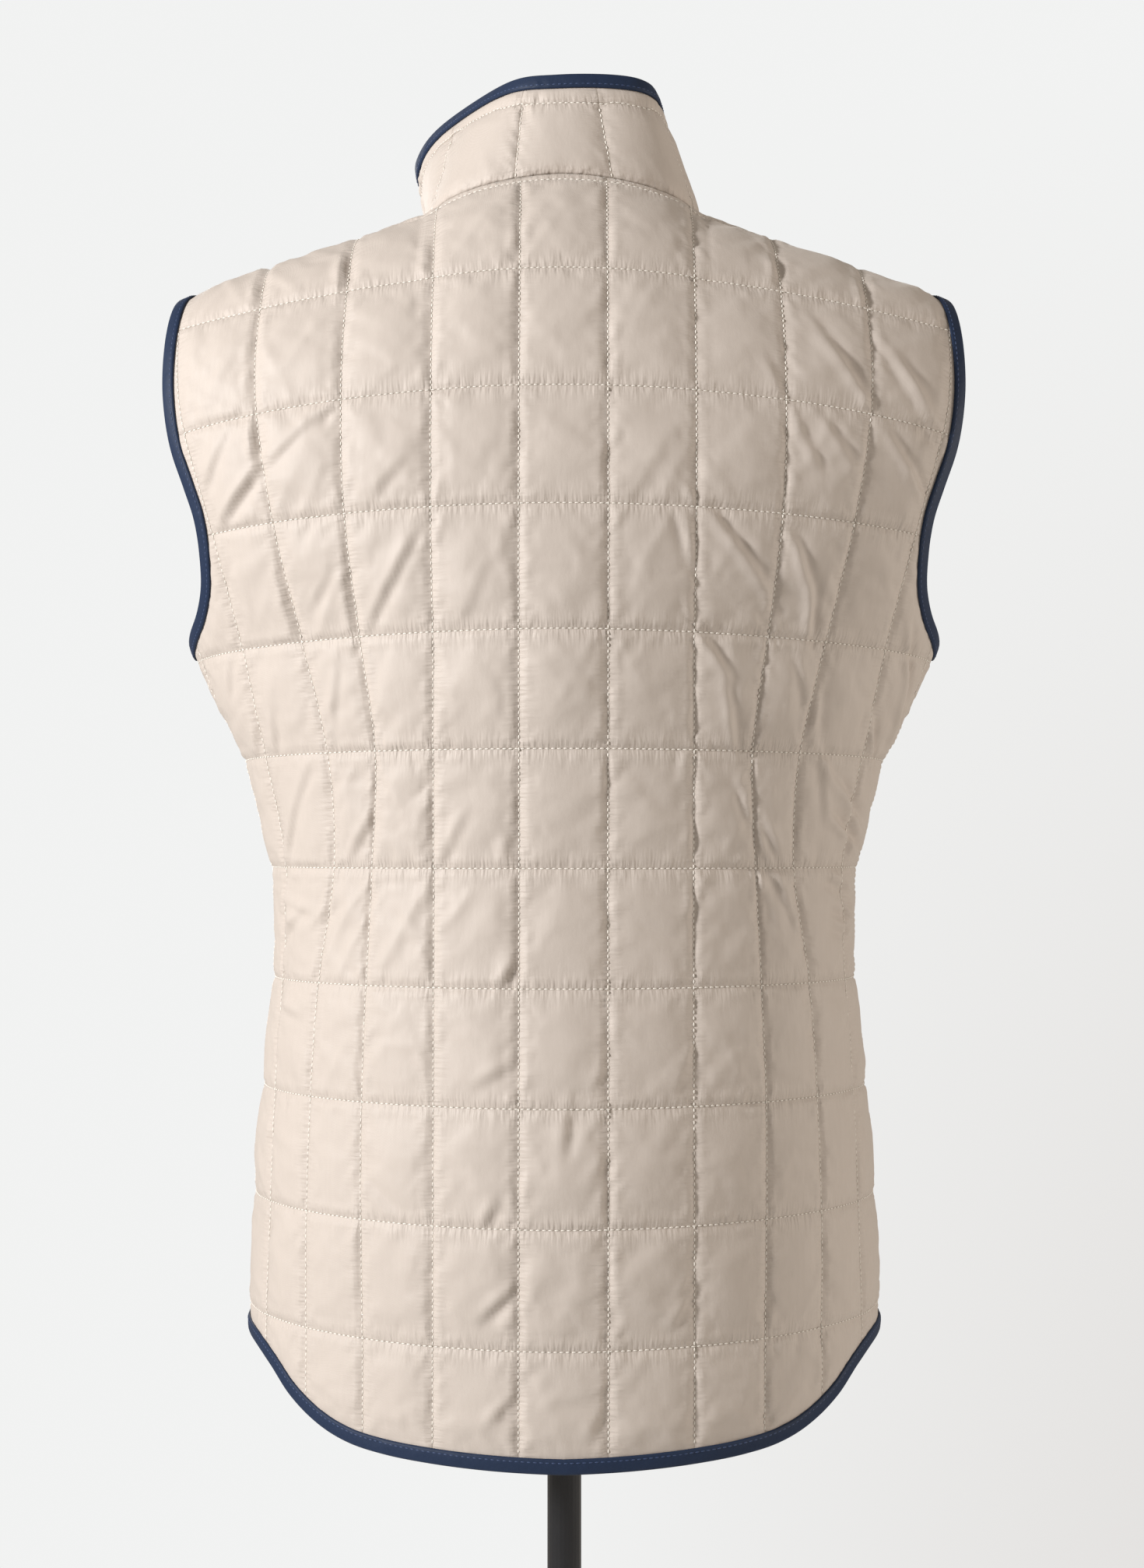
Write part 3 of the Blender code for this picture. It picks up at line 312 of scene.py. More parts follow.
def ridge_height(x):
    """Height of the shoulder line above x."""
    arch = NECK_ARCH * np.minimum(x / NECK_SIDE_X, 1.0) ** 2
    slope = SHOULDER_DROP * np.maximum(x - NECK_SIDE_X, 0.0) / (SHOULDER_TIP_X - NECK_SIDE_X)
    return RIDGE_HEIGHT - arch - slope


def shoulder_profile(side, x, y, steps=61):
    """The curve from the chest, at y, up and over to the shoulder line."""
    rise_power, reach_power = SHOULDER_ROUNDING[side]
    angle = np.linspace(0, math.pi / 2, steps)
    height = (ridge_height(x) - CHEST_HEIGHT)[..., None] * np.sin(angle) ** (2 / rise_power)
    reach = SHOULDER_Y + (y - SHOULDER_Y)[..., None] * np.cos(angle) ** (2 / reach_power)
    return reach, height


def smooth_cloth(side, across, up):
    x, y = walk(*section(side, up), np.abs(across))
    reach, rise = walk(*shoulder_profile(side, x, y), np.maximum(up - CHEST_HEIGHT, 0.0))
    above = up > CHEST_HEIGHT
    return np.stack([x * np.sign(across), np.where(above, reach, y),
                     np.where(above, CHEST_HEIGHT + rise, up)], 1)


def fold_height(side, flat):
    total = np.zeros(len(flat))
    for fold_side, across_a, up_a, across_b, up_b, half_width, height in FOLDS:
        if fold_side != side:
            continue
        start = np.array([across_a, up_a]) * MM
        run = np.array([across_b, up_b]) * MM - start
        share = np.clip((flat - start) @ run / (run @ run), 0.0, 1.0)
        away = np.linalg.norm(flat - start - share[:, None] * run, axis=1) / (half_width * MM)
        total += height * MM * np.exp(-away ** 2) * np.sin(math.pi * (0.1 + 0.8 * share))
    return total


def cloth_frame(side, flat):
    """Places and outward directions of the cloth at rows of (across, up)."""
    step = 0.6 * MM
    across, up = flat[:, 0], flat[:, 1]
    inward = np.where(across >= 0, -step, step)
    place = smooth_cloth(side, across, up)
    to_centre = smooth_cloth(side, across + inward, up) - place
    down = smooth_cloth(side, across, up - step) - place
    out = unit(np.cross(to_centre, down))
    out *= np.sign(np.sum(out * place * (1.0, 1.0, 0.1), axis=1))[:, None]
    return place + out * fold_height(side, flat)[:, None], out


def side_length(side, height):
    return lengths_along(*section(side, np.atleast_1d(height)))[:, -1]


def shoulder_seam(side, x):
    """Cloth measures of the shoulder line at each x."""
    across, up = np.array(x, float), np.full(len(x), 1.37)     # a first guess
    for _ in range(40):
        cloth_x, y = walk(*section(side, up), across)
        across += x - cloth_x
        up = CHEST_HEIGHT + lengths_along(*shoulder_profile(side, x, y))[:, -1]
    return np.stack([across, up - SEAM_GAP / 2], 1)


# ---------------------------------------------------------------------------
# The quilting. Boxes of 45 by 60.5 mm are stitched through shell, wadding and
# lining. The wadding fills them softly, and the stitching draws the cloth into
# fine puckers along every line.
# ---------------------------------------------------------------------------
ROWS = np.array((
    (1500, 30), (1438, 27), (1377, 24), (1315, 20), (1250, 16), (1189, 9), (1126, 6), (1066, 2), (1005, 0),
    (944, 0), (884, 0), (824, 0), (763, 0), (702, 0), (641, 0)), float)[::-1]
DROP_ACROSS = 215 * MM
BACK_COLUMNS = np.array((
    (680, 103, 135, 160), (763, 103, 135, 160), (824, 104, 135, 158), (884, 104, 133, 156),
    (944, 102, 129, 152), (1005, 99, 120, 149), (1066, 97, 123, 160), (1126, 105, 137, 172),
    (1188, 112, 151, 187), (1250, 114, 160, 203), (1312, 113, 160, 206), (1400, 110, 158, 206)), float)
BOX_WIDTH, BOX_HEIGHT = 45, 60  # nominal, mm
COLUMN_SPACING = BOX_WIDTH * MM
COLUMN_COUNT = 6
COARSE = (12, 16)              # mesh steps across and up a box, for settling the cloth
PUFF = 2.5 * MM
SETTLED_SHARE = 0.35           # how much of the puff follows the settled cloth
CREASES = 2.0                  # for each mm of a panel's width
CREASE_WIDTH, CREASE_HEIGHT = (1.3, 3.2), (-1.3, 0.9)          # least and most, mm
CREASE_LIMIT = 30 * MM         # a crease has no effect on the cloth further away than this
PUCKER_REACH = (4.5 * MM, 3.5 * MM)                            # off a column and off a row
PUCKER_HEIGHT, DRAG_HEIGHT = (1.1, 0.8), (0.7, 0.35)           # mm
PUFF_FADE, FOLD_FADE = 12 * MM, 4 * MM   # how far from a rim or binding each is at its full height
CORE_RIM, COARSE_RIM = 1.1 * MM, 6 * MM  # the outer and the inner mesh end this far from the outline
NEAR = 25 * MM                 # an edge further away than this has no effect on the cloth
DRAWN_WIDTH = 2.7 * MM
# folds that the body's shape draws in the back: column and row of the upper end and of the
# lower end, counted in boxes, and height in mm; going down a fold, the cloth stands out on
# its wearer's-left side and lies deeper on the other
DRAWN_FOLDS = (
    (3.5, 10.0, 3.56, 9.6, 1.6), (3.45, 9.55, 4.2, 9.1, 2.0), (2.75, 9.9, 3.4, 9.5, 1.0),
    (2.5, 10.0, 2.8, 9.8, 1.0), (3.85, 9.9, 4.4, 9.4, 1.0), (1.8, 9.4, 2.1, 9.15, 0.8),
    (1.65, 8.8, 1.9, 8.5, 1.1), (1.9, 8.5, 2.35, 8.05, 1.2), (3.57, 8.6, 3.55, 8.05, 1.0),
    (2.56, 8.5, 2.56, 8.0, 1.0), (2.75, 8.55, 3.2, 8.25, 0.8), (0.85, 8.5, 1.1, 8.1, 0.5),
    (0.65, 8.75, 0.6, 8.45, 0.6), (2.9, 7.8, 3.3, 7.15, 0.7), (4.15, 7.4, 4.25, 7.0, 1.2),
    (4.5, 7.3, 4.7, 7.0, 1.2), (4.75, 7.95, 4.9, 7.6, 1.2), (3.45, 7.5, 3.4, 7.15, 0.8),
    (3.75, 6.9, 4.1, 6.5, 1.0), (4.1, 6.5, 4.4, 6.05, 1.6), (2.5, 6.45, 3.0, 6.1, 0.9),
    (1.1, 6.45, 1.4, 6.05, 1.0), (0.6, 6.3, 0.65, 6.0, 1.0), (3.25, 5.7, 3.7, 5.5, 1.0),
    (4.0, 5.6, 4.5, 5.35, 1.4), (3.8, 5.6, 4.5, 5.7, 1.0), (0.55, 5.2, 0.7, 5.0, 1.6),
    (0.5, 4.4, 0.95, 4.2, 1.0), (3.85, 4.7, 4.4, 4.75, 1.0), (0.75, 3.2, 0.9, 3.0, 1.4),
    (0.5, 2.55, 0.9, 2.25, 1.4), (2.5, 3.4, 1.95, 3.05, 0.8), (4.45, 3.7, 4.65, 3.45, 0.8),
    (0.6, 1.6, 0.8, 1.4, 0.9), (-0.1, 4.1, 0.0, 3.6, 1.2), (-0.5, 4.4, -0.33, 4.15, 1.0),
    (-0.5, 3.6, -0.3, 3.35, 0.9), (-0.45, 1.5, -0.3, 1.3, 1.0), (-1.45, 4.35, -1.3, 4.15, 0.9),
    (-1.45, 2.6, -1.3, 2.4, 1.0), (-1.5, 2.45, -1.25, 2.2, 0.9), (-4.45, 4.95, -4.6, 4.3, 0.8),
    (-4.4, 4.3, -4.6, 3.6, 0.8), (-4.6, 3.6, -4.6, 2.75, 0.8), (-5.0, 4.35, -5.0, 3.95, 1.0),
    (2.55, 11.45, 2.55, 11.0, 1.6), (3.55, 11.4, 3.55, 11.0, 1.0), (1.53, 11.3, 1.53, 11.0, 1.0),
    (-2.45, 11.4, -2.45, 11.1, 1.4), (-3.45, 11.3, -3.45, 11.0, 1.4), (-4.35, 11.2, -4.4, 10.9, 1.0),
    (-2.9, 10.6, -3.5, 10.1, 1.3), (-3.85, 10.5, -4.35, 10.1, 1.0), (-3.55, 10.7, -4.25, 10.0, -1.0),
    (-2.3, 10.3, -2.5, 10.0, 1.0), (-2.8, 10.8, -3.3, 10.3, 0.9), (-2.85, 9.95, -3.4, 9.45, 1.1),
    (-2.6, 9.85, -2.95, 9.4, 0.9), (-3.7, 9.9, -4.6, 9.25, 1.4), (-1.65, 9.0, -2.4, 8.4, 1.7),
    (-2.7, 8.8, -3.05, 8.4, 1.5), (-3.05, 8.4, -3.2, 8.0, 1.9), (-1.6, 8.0, -2.0, 7.65, 1.5),
    (-1.95, 7.6, -2.2, 7.0, 1.1), (-3.55, 7.6, -3.7, 7.1, 0.9), (-3.75, 7.1, -4.1, 6.7, 1.1),
    (-4.85, 8.2, -5.15, 7.6, 2.2), (-5.05, 7.7, -5.15, 7.1, 2.0), (-4.5, 7.4, -4.9, 6.8, 2.0),
    (-4.15, 6.75, -4.75, 6.4, 2.0), (-4.1, 6.45, -5.0, 6.1, 2.2), (-4.7, 5.8, -4.1, 5.9, 1.6),
    (-4.65, 5.55, -4.15, 5.65, 1.2), (-4.6, 5.4, -4.1, 5.5, 1.2), (-2.2, 6.75, -2.6, 6.2, -1.0),
    (-2.6, 6.2, -3.3, 5.5, -1.0), (-3.0, 7.85, -3.4, 7.4, -0.8), (-2.6, 6.5, -3.1, 6.05, -1.0),
    (-1.4, 7.05, -1.3, 6.8, -1.0), (-3.8, 6.9, -3.95, 6.4, -0.9), (-1.25, 9.0, -1.45, 8.55, -0.9))
RANDOM_SIZE = 256
random_table = np.random.default_rng(7).random((RANDOM_SIZE, RANDOM_SIZE))


def value_noise(u, v):
    """Smooth noise between -1 and 1 over the plane."""
    iu, iv = np.floor(u).astype(int), np.floor(v).astype(int)
    fu, fv = u - iu, v - iv
    fu, fv = fu * fu * (3 - 2 * fu), fv * fv * (3 - 2 * fv)
    corner = [[random_table[(iu + a) % RANDOM_SIZE, (iv + b) % RANDOM_SIZE] for b in (0, 1)]
              for a in (0, 1)]
    low = corner[0][0] * (1 - fv) + corner[0][1] * fv
    high = corner[1][0] * (1 - fv) + corner[1][1] * fv
    return 2 * (low * (1 - fu) + high * fu) - 1


def star_folds(column, row):
    """Small folds that run out from each crossing of two stitched lines."""
    node_column, node_row = np.round(column - 0.5) + 0.5, np.round(row)
    right, up = (column - node_column) * COLUMN_SPACING / MM, (row - node_row) * BOX_HEIGHT
    reach, turn = np.hypot(right, up), np.arctan2(up, right)
    node = (node_column * 2).astype(int) % RANDOM_SIZE, node_row.astype(int) % RANDOM_SIZE
    phase = 6.283 * random_table[node]
    folds = np.cos(turn * 7 + phase) + 0.6 * np.cos(turn * 12 + 2 * phase)
    return 0.5 * MM * folds * np.exp(-reach / 9) * (1 - np.exp(-reach / 3)) ** 2


def row_height(row, across):
    numbers = np.arange(len(ROWS), dtype=float)
    centre = np.interp(row, numbers, ROWS[:, 0]) * MM
    drop = np.interp(row, numbers, ROWS[:, 1]) * MM
    return centre - drop * (across / DROP_ACROSS) ** 2


LINE_HEIGHTS = np.arange(640, 1502, 4) * MM


def column_table(side):
    """Distance across to the centre line's left neighbour and to each column, for LINE_HEIGHTS."""
    if side == FRONT:
        lines = FRONT_EDGE_X + COLUMN_SPACING * (np.arange(COLUMN_COUNT + 2) - 0.5)
        return np.repeat(lines[None], len(LINE_HEIGHTS), axis=0)
    lines = [np.full(len(LINE_HEIGHTS), COLUMN_SPACING * (k - 0.5)) for k in range(3)]
    x, y = section(BACK, LINE_HEIGHTS)
    length = lengths_along(x, y)
    for column in range(1, BACK_COLUMNS.shape[1]):
        at = smooth_column(LINE_HEIGHTS / MM, BACK_COLUMNS[:, 0], BACK_COLUMNS[:, column]) * MM
        lines.append(np.array([np.interp(a, px, l) for a, px, l in zip(at, x, length)]))
    lines.append(lines[-1] + COLUMN_SPACING)
    lines.append(lines[-1] + COLUMN_SPACING)
    return np.stack(lines, 1)


COLUMN_TABLES = {side: column_table(side) for side in (BACK, FRONT)}


def table_level(table, up):
    """The table's row at or below each height, and the share of the way to the next one."""
    step = LINE_HEIGHTS[1] - LINE_HEIGHTS[0]
    place = np.clip((up - LINE_HEIGHTS[0]) / step, 0, len(table) - 1.001)
    level = place.astype(int)
    return level, place - level


def quilt_grid(side, columns, rows):
    """Cloth measures of every (row, column), numbered in boxes; columns count from the centre."""
    column, row = np.meshgrid(columns, rows)
    number = np.abs(column) + 0.5
    low = np.floor(number).astype(int)
    table = COLUMN_TABLES[side]
    across = np.abs(column) * COLUMN_SPACING
    for _ in range(4):
        up = row_height(row, across)
        level, share = table_level(table, up)
        ends = [table[level, k] * (1 - share) + table[level + 1, k] * share for k in (low, low + 1)]
        across = ends[0] + (ends[1] - ends[0]) * (number - low)
    return np.stack([across * np.sign(column), up], -1), column, row


def quilt_number(side, flat):
    """Which column and row each (across, up) lies at; the stitched lines are whole numbers."""
    levels = np.stack([row_height(float(k), flat[:, 0]) for k in range(len(ROWS))], 1)
    row = np.sum(levels <= flat[:, 1:], axis=1) - 1
    row = np.clip(row, 0, len(ROWS) - 2)
    one = np.arange(len(flat))
    number = row + (flat[:, 1] - levels[one, row]) / (levels[one, row + 1] - levels[one, row])
    table = COLUMN_TABLES[side]
    level, share = table_level(table, flat[:, 1])
    lines = table[level] + (table[level + 1] - table[level]) * share[:, None]
    across = np.abs(flat[:, 0])
    column = np.clip(np.sum(lines <= across[:, None], axis=1) - 1, 0, lines.shape[1] - 2)
    column = column + (across - lines[one, column]) / (lines[one, column + 1] - lines[one, column])
    # the first line lies half a box beyond the centre, on the other side
    return np.stack([np.where(flat[:, 0] < 0, 1 - column, column), number], 1)


def by_height(points):
    """A function that lists the points between two heights."""
    order = np.argsort(points[:, 1])
    heights = points[order, 1]
    return lambda low, high: order[slice(*np.searchsorted(heights, (low, high)))]


def away_from_line(points, line):
    """How far each point lies from a line, up to NEAR."""
    between = by_height(points)
    nearest = np.full(len(points), NEAR)
    for a, b in zip(line[:-1], line[1:]):
        close = between(min(a[1], b[1]) - NEAR, max(a[1], b[1]) + NEAR)
        run, away = b - a, points[close] - a
        share = np.clip(away @ run / max(run @ run, 1e-12), 0.0, 1.0)
        nearest[close] = np.minimum(nearest[close], np.hypot(*(away - share[:, None] * run).T))
    return nearest


def away_from_lines(points, lines):
    return np.min([away_from_line(points, line) for line in lines], axis=0)


def grid_quads(index):
    """The faces of a grid of points, from the points' numbers in rows and columns."""
    corners = (index[:-1, :-1], index[:-1, 1:], index[1:, 1:], index[1:, :-1])
    return np.stack(corners, -1).reshape(-1, 4)


def inside(points, starts, ends):
    """Which points lie inside the closed loops made of these edges."""
    hits = np.zeros(len(points), bool)
    for a, b in zip(starts, ends):
        crosses = (a[1] > points[:, 1]) != (b[1] > points[:, 1])
        rise = b[1] - a[1] if b[1] != a[1] else 1e-12
        hits ^= crosses & (points[:, 0] < a[0] + (b[0] - a[0]) * (points[:, 1] - a[1]) / rise)
    return hits


def finer(values):
    """Twice as many points along the first axis, on a smooth curve through the old ones."""
    padded = np.concatenate([2 * values[:1] - values[1:2], values, 2 * values[-1:] - values[-2:-1]])
    between = (-padded[:-3] + 9 * padded[1:-2] + 9 * padded[2:-1] - padded[3:]) / 16
    out = np.empty((2 * len(values) - 1,) + values.shape[1:])
    out[0::2], out[1::2] = values, between
    return out


def settle(flat, quads, held, start):
    """Lets the wadding push the cloth out between the stitched lines, which are held.

    The cloth lies flat for this, across and up, and moves along y. Returns its moves."""
    mesh = bpy.data.meshes.new("settling")
    places = np.stack([flat[:, 0], -start, flat[:, 1]], 1)
    mesh.from_pydata(places.tolist(), [], quads.tolist())
    cloth = link(bpy.data.objects.new("settling", mesh))
    stitched = cloth.vertex_groups.new(name="stitched")
    stitched.add(np.nonzero(held)[0].tolist(), 1.0, "REPLACE")
    modifier = cloth.modifiers.new("cloth", "CLOTH")
    how = modifier.settings
    how.vertex_group_mass = "stitched"
    how.quality, how.mass, how.air_damping = 4, 0.12, 4
    how.tension_stiffness = how.compression_stiffness = 30
    how.shear_stiffness, how.bending_stiffness = 8, 0.25
    how.use_pressure, how.uniform_pressure_force = True, 2.4
    how.shrink_min = -0.02
    how.effector_weights.gravity = 0
    modifier.collision_settings.use_collision = False
    modifier.collision_settings.use_self_collision = False
    modifier.point_cache.frame_start, modifier.point_cache.frame_end = 1, 16
    for number in range(1, 15):
        scene.frame_set(number)
    shape = cloth.evaluated_get(bpy.context.evaluated_depsgraph_get())
    settled = np.empty(len(flat) * 3)
    shape.data.vertices.foreach_get("co", settled)
    settled = settled.reshape(-1, 3)
    scene.frame_set(1)
    bpy.data.objects.remove(cloth, do_unlink=True)
    moves = settled - np.stack([flat[:, 0], np.zeros(len(flat)), flat[:, 1]], 1)
    return moves * (1, -1, 1)


def drawn_folds(flat):
    """The back's own folds, from their table."""
    total = np.zeros(len(flat))
    for column_a, row_a, column_b, row_b, height in DRAWN_FOLDS:
        start, end = (quilt_grid(BACK, [column], [row])[0][0, 0]
                      for column, row in ((column_a, row_a), (column_b, row_b)))
        run = end - start
        length = math.hypot(*run)
        near = np.nonzero(np.abs(flat - start - run / 2).max(axis=1) < length / 2 + 4 * DRAWN_WIDTH)[0]
        away = flat[near] - start
        along = away @ run / length
        beside = (run[0] * away[:, 1] - run[1] * away[:, 0]) / length / DRAWN_WIDTH
        share = np.clip(along / length, 0.0, 1.0)
        past = (along - share * length) / DRAWN_WIDTH
        shape = beside * np.exp(0.5 - 0.5 * (beside ** 2 + past ** 2))
        total[near] += height * MM * shape * np.sin(math.pi * (0.15 + 0.7 * share))
    return total


def leans_back(flat):
    """Whether folds lean the other way: on the wearer's right, from just under the arm up."""
    return (flat[..., 0] < -60 * MM) & (flat[..., 1] > 1100 * MM)


def creases(flat, to_column, to_row, seed, count):
    """Sharp creases that run off the stitched lines into the boxes and fade out there."""
    chance = np.random.default_rng(seed)
    total = np.zeros(len(flat))
    between = by_height(flat)
    on_column, on_row = np.nonzero(to_column < 1 * MM)[0], np.nonzero(to_row < 1 * MM)[0]
    for number in range(count):
        # those off a column slant and run far, those off a row are upright and short
        line, direction, reach = ((on_column, -0.9, 20), (on_row, math.pi / 2, 10))[number % 2]
        start = flat[chance.choice(line)]
        if leans_back(start):
            direction = -direction
        turn = direction + chance.choice((0, math.pi)) + chance.normal(0.0, 0.4)
        run = np.array([math.cos(turn), math.sin(turn)]) * chance.uniform(0.3, 1.0) ** 2 * 2 * reach * MM
        wide, tall = chance.uniform(*CREASE_WIDTH) * MM, chance.uniform(*CREASE_HEIGHT) * MM
        middle = start + run / 2
        near = between(middle[1] - CREASE_LIMIT, middle[1] + CREASE_LIMIT)
        near = near[np.abs(flat[near, 0] - middle[0]) < CREASE_LIMIT]
        share = np.clip((flat[near] - start) @ run / (run @ run), 0.0, 1.0)
        away = np.linalg.norm(flat[near] - start - share[:, None] * run, axis=1) / wide
        total[near] += tall * np.exp(-away ** 1.4) * (1 - share) * np.minimum(share * 8, 1)
    return total


def near_line(away, reach):
    """Nothing on a stitched line, strongest close beside it, and fading out with the reach."""
    return np.exp(-np.abs(away) / reach) * (1 - np.exp(-np.abs(away) / (0.8 * MM)))


def puckers(flat, to_column, to_row, seed):
    """Fine ripples that lean away from each stitched line, and faint drag lines across the boxes."""
    across, up = flat[:, 0] / MM + 40 * seed, flat[:, 1] / MM
    lean = 1.1 * np.where(leans_back(flat), -across, across)
    ripple = 1 - 2 * np.abs(value_noise((up + lean) / 5.5, across / 13))
    ripple = ripple + 0.6 * value_noise((up + lean) / 10 + 50, across / 22)
    height = -PUCKER_HEIGHT[0] * near_line(to_column, PUCKER_REACH[0]) * ripple
    ripple = value_noise(across / 3.4 + 90, up / 9) + 0.6 * value_noise(across / 7 + 20, up / 20)
    height += PUCKER_HEIGHT[1] * near_line(to_row, PUCKER_REACH[1]) * ripple
    slanted = value_noise((across + 0.6 * up) / 13 + 11, (up - 0.4 * across) / 45)
    other = value_noise((across - 0.5 * up) / 15 + 71, (up + 0.3 * across) / 50)
    drag = np.clip(value_noise(across / 50 + 3, up / 50 + 8) + 0.2, 0, 1)
    height += drag * (DRAG_HEIGHT[0] * (1 - 2 * np.abs(slanted)) + DRAG_HEIGHT[1] * (1 - 2 * np.abs(other)))
    return height * MM


class Edge:
    """A run of a panel's outline, with the direction that leads out of the cloth."""

    def __init__(self, side, flat, first_out=None, last_out=None, turn=1):
        self.side, self.flat = side, flat
        run = np.gradient(flat, axis=0)
        run /= np.linalg.norm(run, axis=1)[:, None]
        self.out = np.stack([run[:, 1], -run[:, 0]], 1) * turn
        for index, given in ((0, first_out), (-1, last_out)):
            if given is not None:
                given = np.array(given, float) / np.linalg.norm(given)
                self.out[index] = given / max(abs(given @ self.out[index]), 0.5)

    def at(self, distance):
        return self.flat + self.out * distance

    def stations(self):
        """Edge place and its outward direction, the binding's inner place and that direction, and
        the direction out of the edge."""
        edge, edge_out = cloth_frame(self.side, self.flat)
        near, _ = cloth_frame(self.side, self.at(-1.5 * MM))
        inner, inner_out = cloth_frame(self.side, self.at(-BINDING_WIDTH))
        return [edge, edge_out, inner, inner_out, (edge - near) / (1.5 * MM)]


def add_piece(name, points, faces, finish, smooth=True, quilt=None, seam=None):
    mesh = bpy.data.meshes.new(name)
    mesh.from_pydata([tuple(p) for p in np.asarray(points).tolist()], [], faces)
    if quilt is not None:
        corners = np.empty(len(mesh.loops), dtype=np.int32)
        mesh.loops.foreach_get("vertex_index", corners)
        mesh.uv_layers.new(name="quilt").data.foreach_set("uv", quilt[corners].astype(np.float32).ravel())
        mesh.attributes.new("seam", "FLOAT", "POINT").data.foreach_set("value", seam.astype(np.float32))
    work = bmesh.new()
    work.from_mesh(mesh)
    bmesh.ops.recalc_face_normals(work, faces=work.faces)
    work.to_mesh(mesh)
    work.free()
    if smooth:
        mesh.shade_smooth()
    mesh.materials.append(finish.material)
    return link(bpy.data.objects.new(name, mesh))


def fading(away, rate):
    """Falls off from 1 as the distance grows, faster at a higher rate."""
    return 2.718 ** (away * -rate)


def beige_satin():
    """Smooth beige polyester: a tight weave, a soft sheen and faint slubs."""
    cloth = Finish("beige_satin", Sheen_Weight=0.2, Sheen_Roughness=0.4, Specular_IOR_Level=0.32)
    cloth.shader.inputs["Sheen Tint"].default_value = (1.0, 0.96, 0.9, 1)
    place = cloth.place()
    broad = cloth.noise(place, 9, 2)
    fine = cloth.noise(cloth.place(scale=(1, 1, 0.12)), 420, 2)
    colour = cloth.blend(broad, (0.575, 0.502, 0.446, 1), (0.628, 0.553, 0.494, 1))
    colour = cloth.blend(fine * 0.35, colour, (0.51, 0.443, 0.385, 1))
    # distances in mm from the stitched columns and rows, and from seams
    column, row = (cloth.node("ShaderNodeSeparateXYZ", output=k,
                              Vector=cloth.node("ShaderNodeUVMap", {"uv_map": "quilt"})) for k in (0, 1))
    pingpong = {"operation": "PINGPONG"}
    from_column = BOX_WIDTH * cloth.node("ShaderNodeMath", pingpong, values=(column, 0.5))
    from_row = BOX_HEIGHT * cloth.node("ShaderNodeMath", pingpong, values=(row, 0.5))
    from_seam = cloth.node("ShaderNodeAttribute", {"attribute_name": "seam"}, output=2)
    height = 0.0
    # painted shade: a narrow dark line along each stitched groove, where the shade falls
    groove_shade = 0.0
    # the puckers are long away from a line and close together along it
    for away, wide, tall in ((from_column, BOX_WIDTH / 11, BOX_HEIGHT / 2.1),
                             (from_row, BOX_WIDTH / 2.1, BOX_HEIGHT / 11)):
        along = cloth.node("ShaderNodeCombineXYZ", X=column * wide, Y=row * tall)
        ripple = cloth.node("ShaderNodeTexNoise", Vector=along, Scale=1.0, Detail=1.0, Roughness=0.5)
        height = height + (ripple - 0.5) * fading(away, 0.24) * (1 - fading(away, 1.4)) * 1.5
        height = height - 0.55 * fading(away, 0.8)
        groove_shade = groove_shade + fading(away * away, 7.0)
    ripple = cloth.noise(place, 260, 1)
    height = height + (ripple - 0.5) * fading(from_seam, 0.3) * 1.2
    # the cloth's colour is darkened towards dark brown along the stitched lines, as painted groove shade
    cloth.set("Base Color", cloth.blend(groove_shade * 0.42, colour, (0.22, 0.17, 0.12, 1)))
    cloth.set("Roughness", 0.5 + 0.12 * fine)
    weave = cloth.node("ShaderNodeTexWave", {"wave_type": "BANDS", "bands_direction": "DIAGONAL"}, output=1,
                       Vector=place, Scale=900, Distortion=0.6)
    crumple = cloth.noise(cloth.place(scale=(1, 1, 0.55)), 150, 3)
    puckered = cloth.bump(height, 0.001, 0.9)
    bumped = cloth.bump(crumple, 0.0007, 0.3, before=puckered)
    cloth.set("Normal", cloth.bump(weave, 0.00006, 0.35, before=bumped))
    return cloth


SATIN = beige_satin()


def band_triangles(points, count, lines, core_starts, core_ends):
    """Triangles between the outline, the first points, and the core's edge."""
    places = [Vector((float(p[0]) * 1000, float(p[1]) * 1000)) for p in points]
    result = delaunay_2d_cdt(places, lines, [list(range(count))], 1, 1e-4)
    original = [ids[0] for ids in result[3]]
    faces = np.array([[original[k] for k in face] for face in result[2] if len(face) == 3])
    if core_starts is None:
        return faces
    middle = points[faces].mean(axis=1)
    on_core = (faces >= count).all(axis=1)
    covered = np.zeros(len(faces), bool)
    covered[on_core] = inside(middle[on_core], core_starts, core_ends)
    return faces[~covered]


def settled_moves(flat, shape, usable, held, start):
    """How far the wadding moves each point across, out and up, starting from a shallow puff."""
    quads = grid_quads(np.arange(len(flat)).reshape(shape))
    quads = quads[usable[quads].all(axis=1)]
    used = np.unique(quads)
    renumber = np.zeros(len(flat), int)
    renumber[used] = np.arange(len(used))
    uneven = 1 + 0.2 * value_noise(flat[used, 0] / 0.009, flat[used, 1] / 0.009)
    settled = settle(flat[used], renumber[quads], held[used], 0.6 * start[used] * uneven)
    settled[:, 1] = np.clip(settled[:, 1], 0.0, 1.6 * PUFF)
    settled[:, ::2] = np.clip(settled[:, ::2], -2 * MM, 2 * MM)
    moves = np.zeros((len(flat), 3))
    moves[used] = settled
    moves[:, 1] = SETTLED_SHARE * moves[:, 1] + (1 - SETTLED_SHARE) * start
    return moves


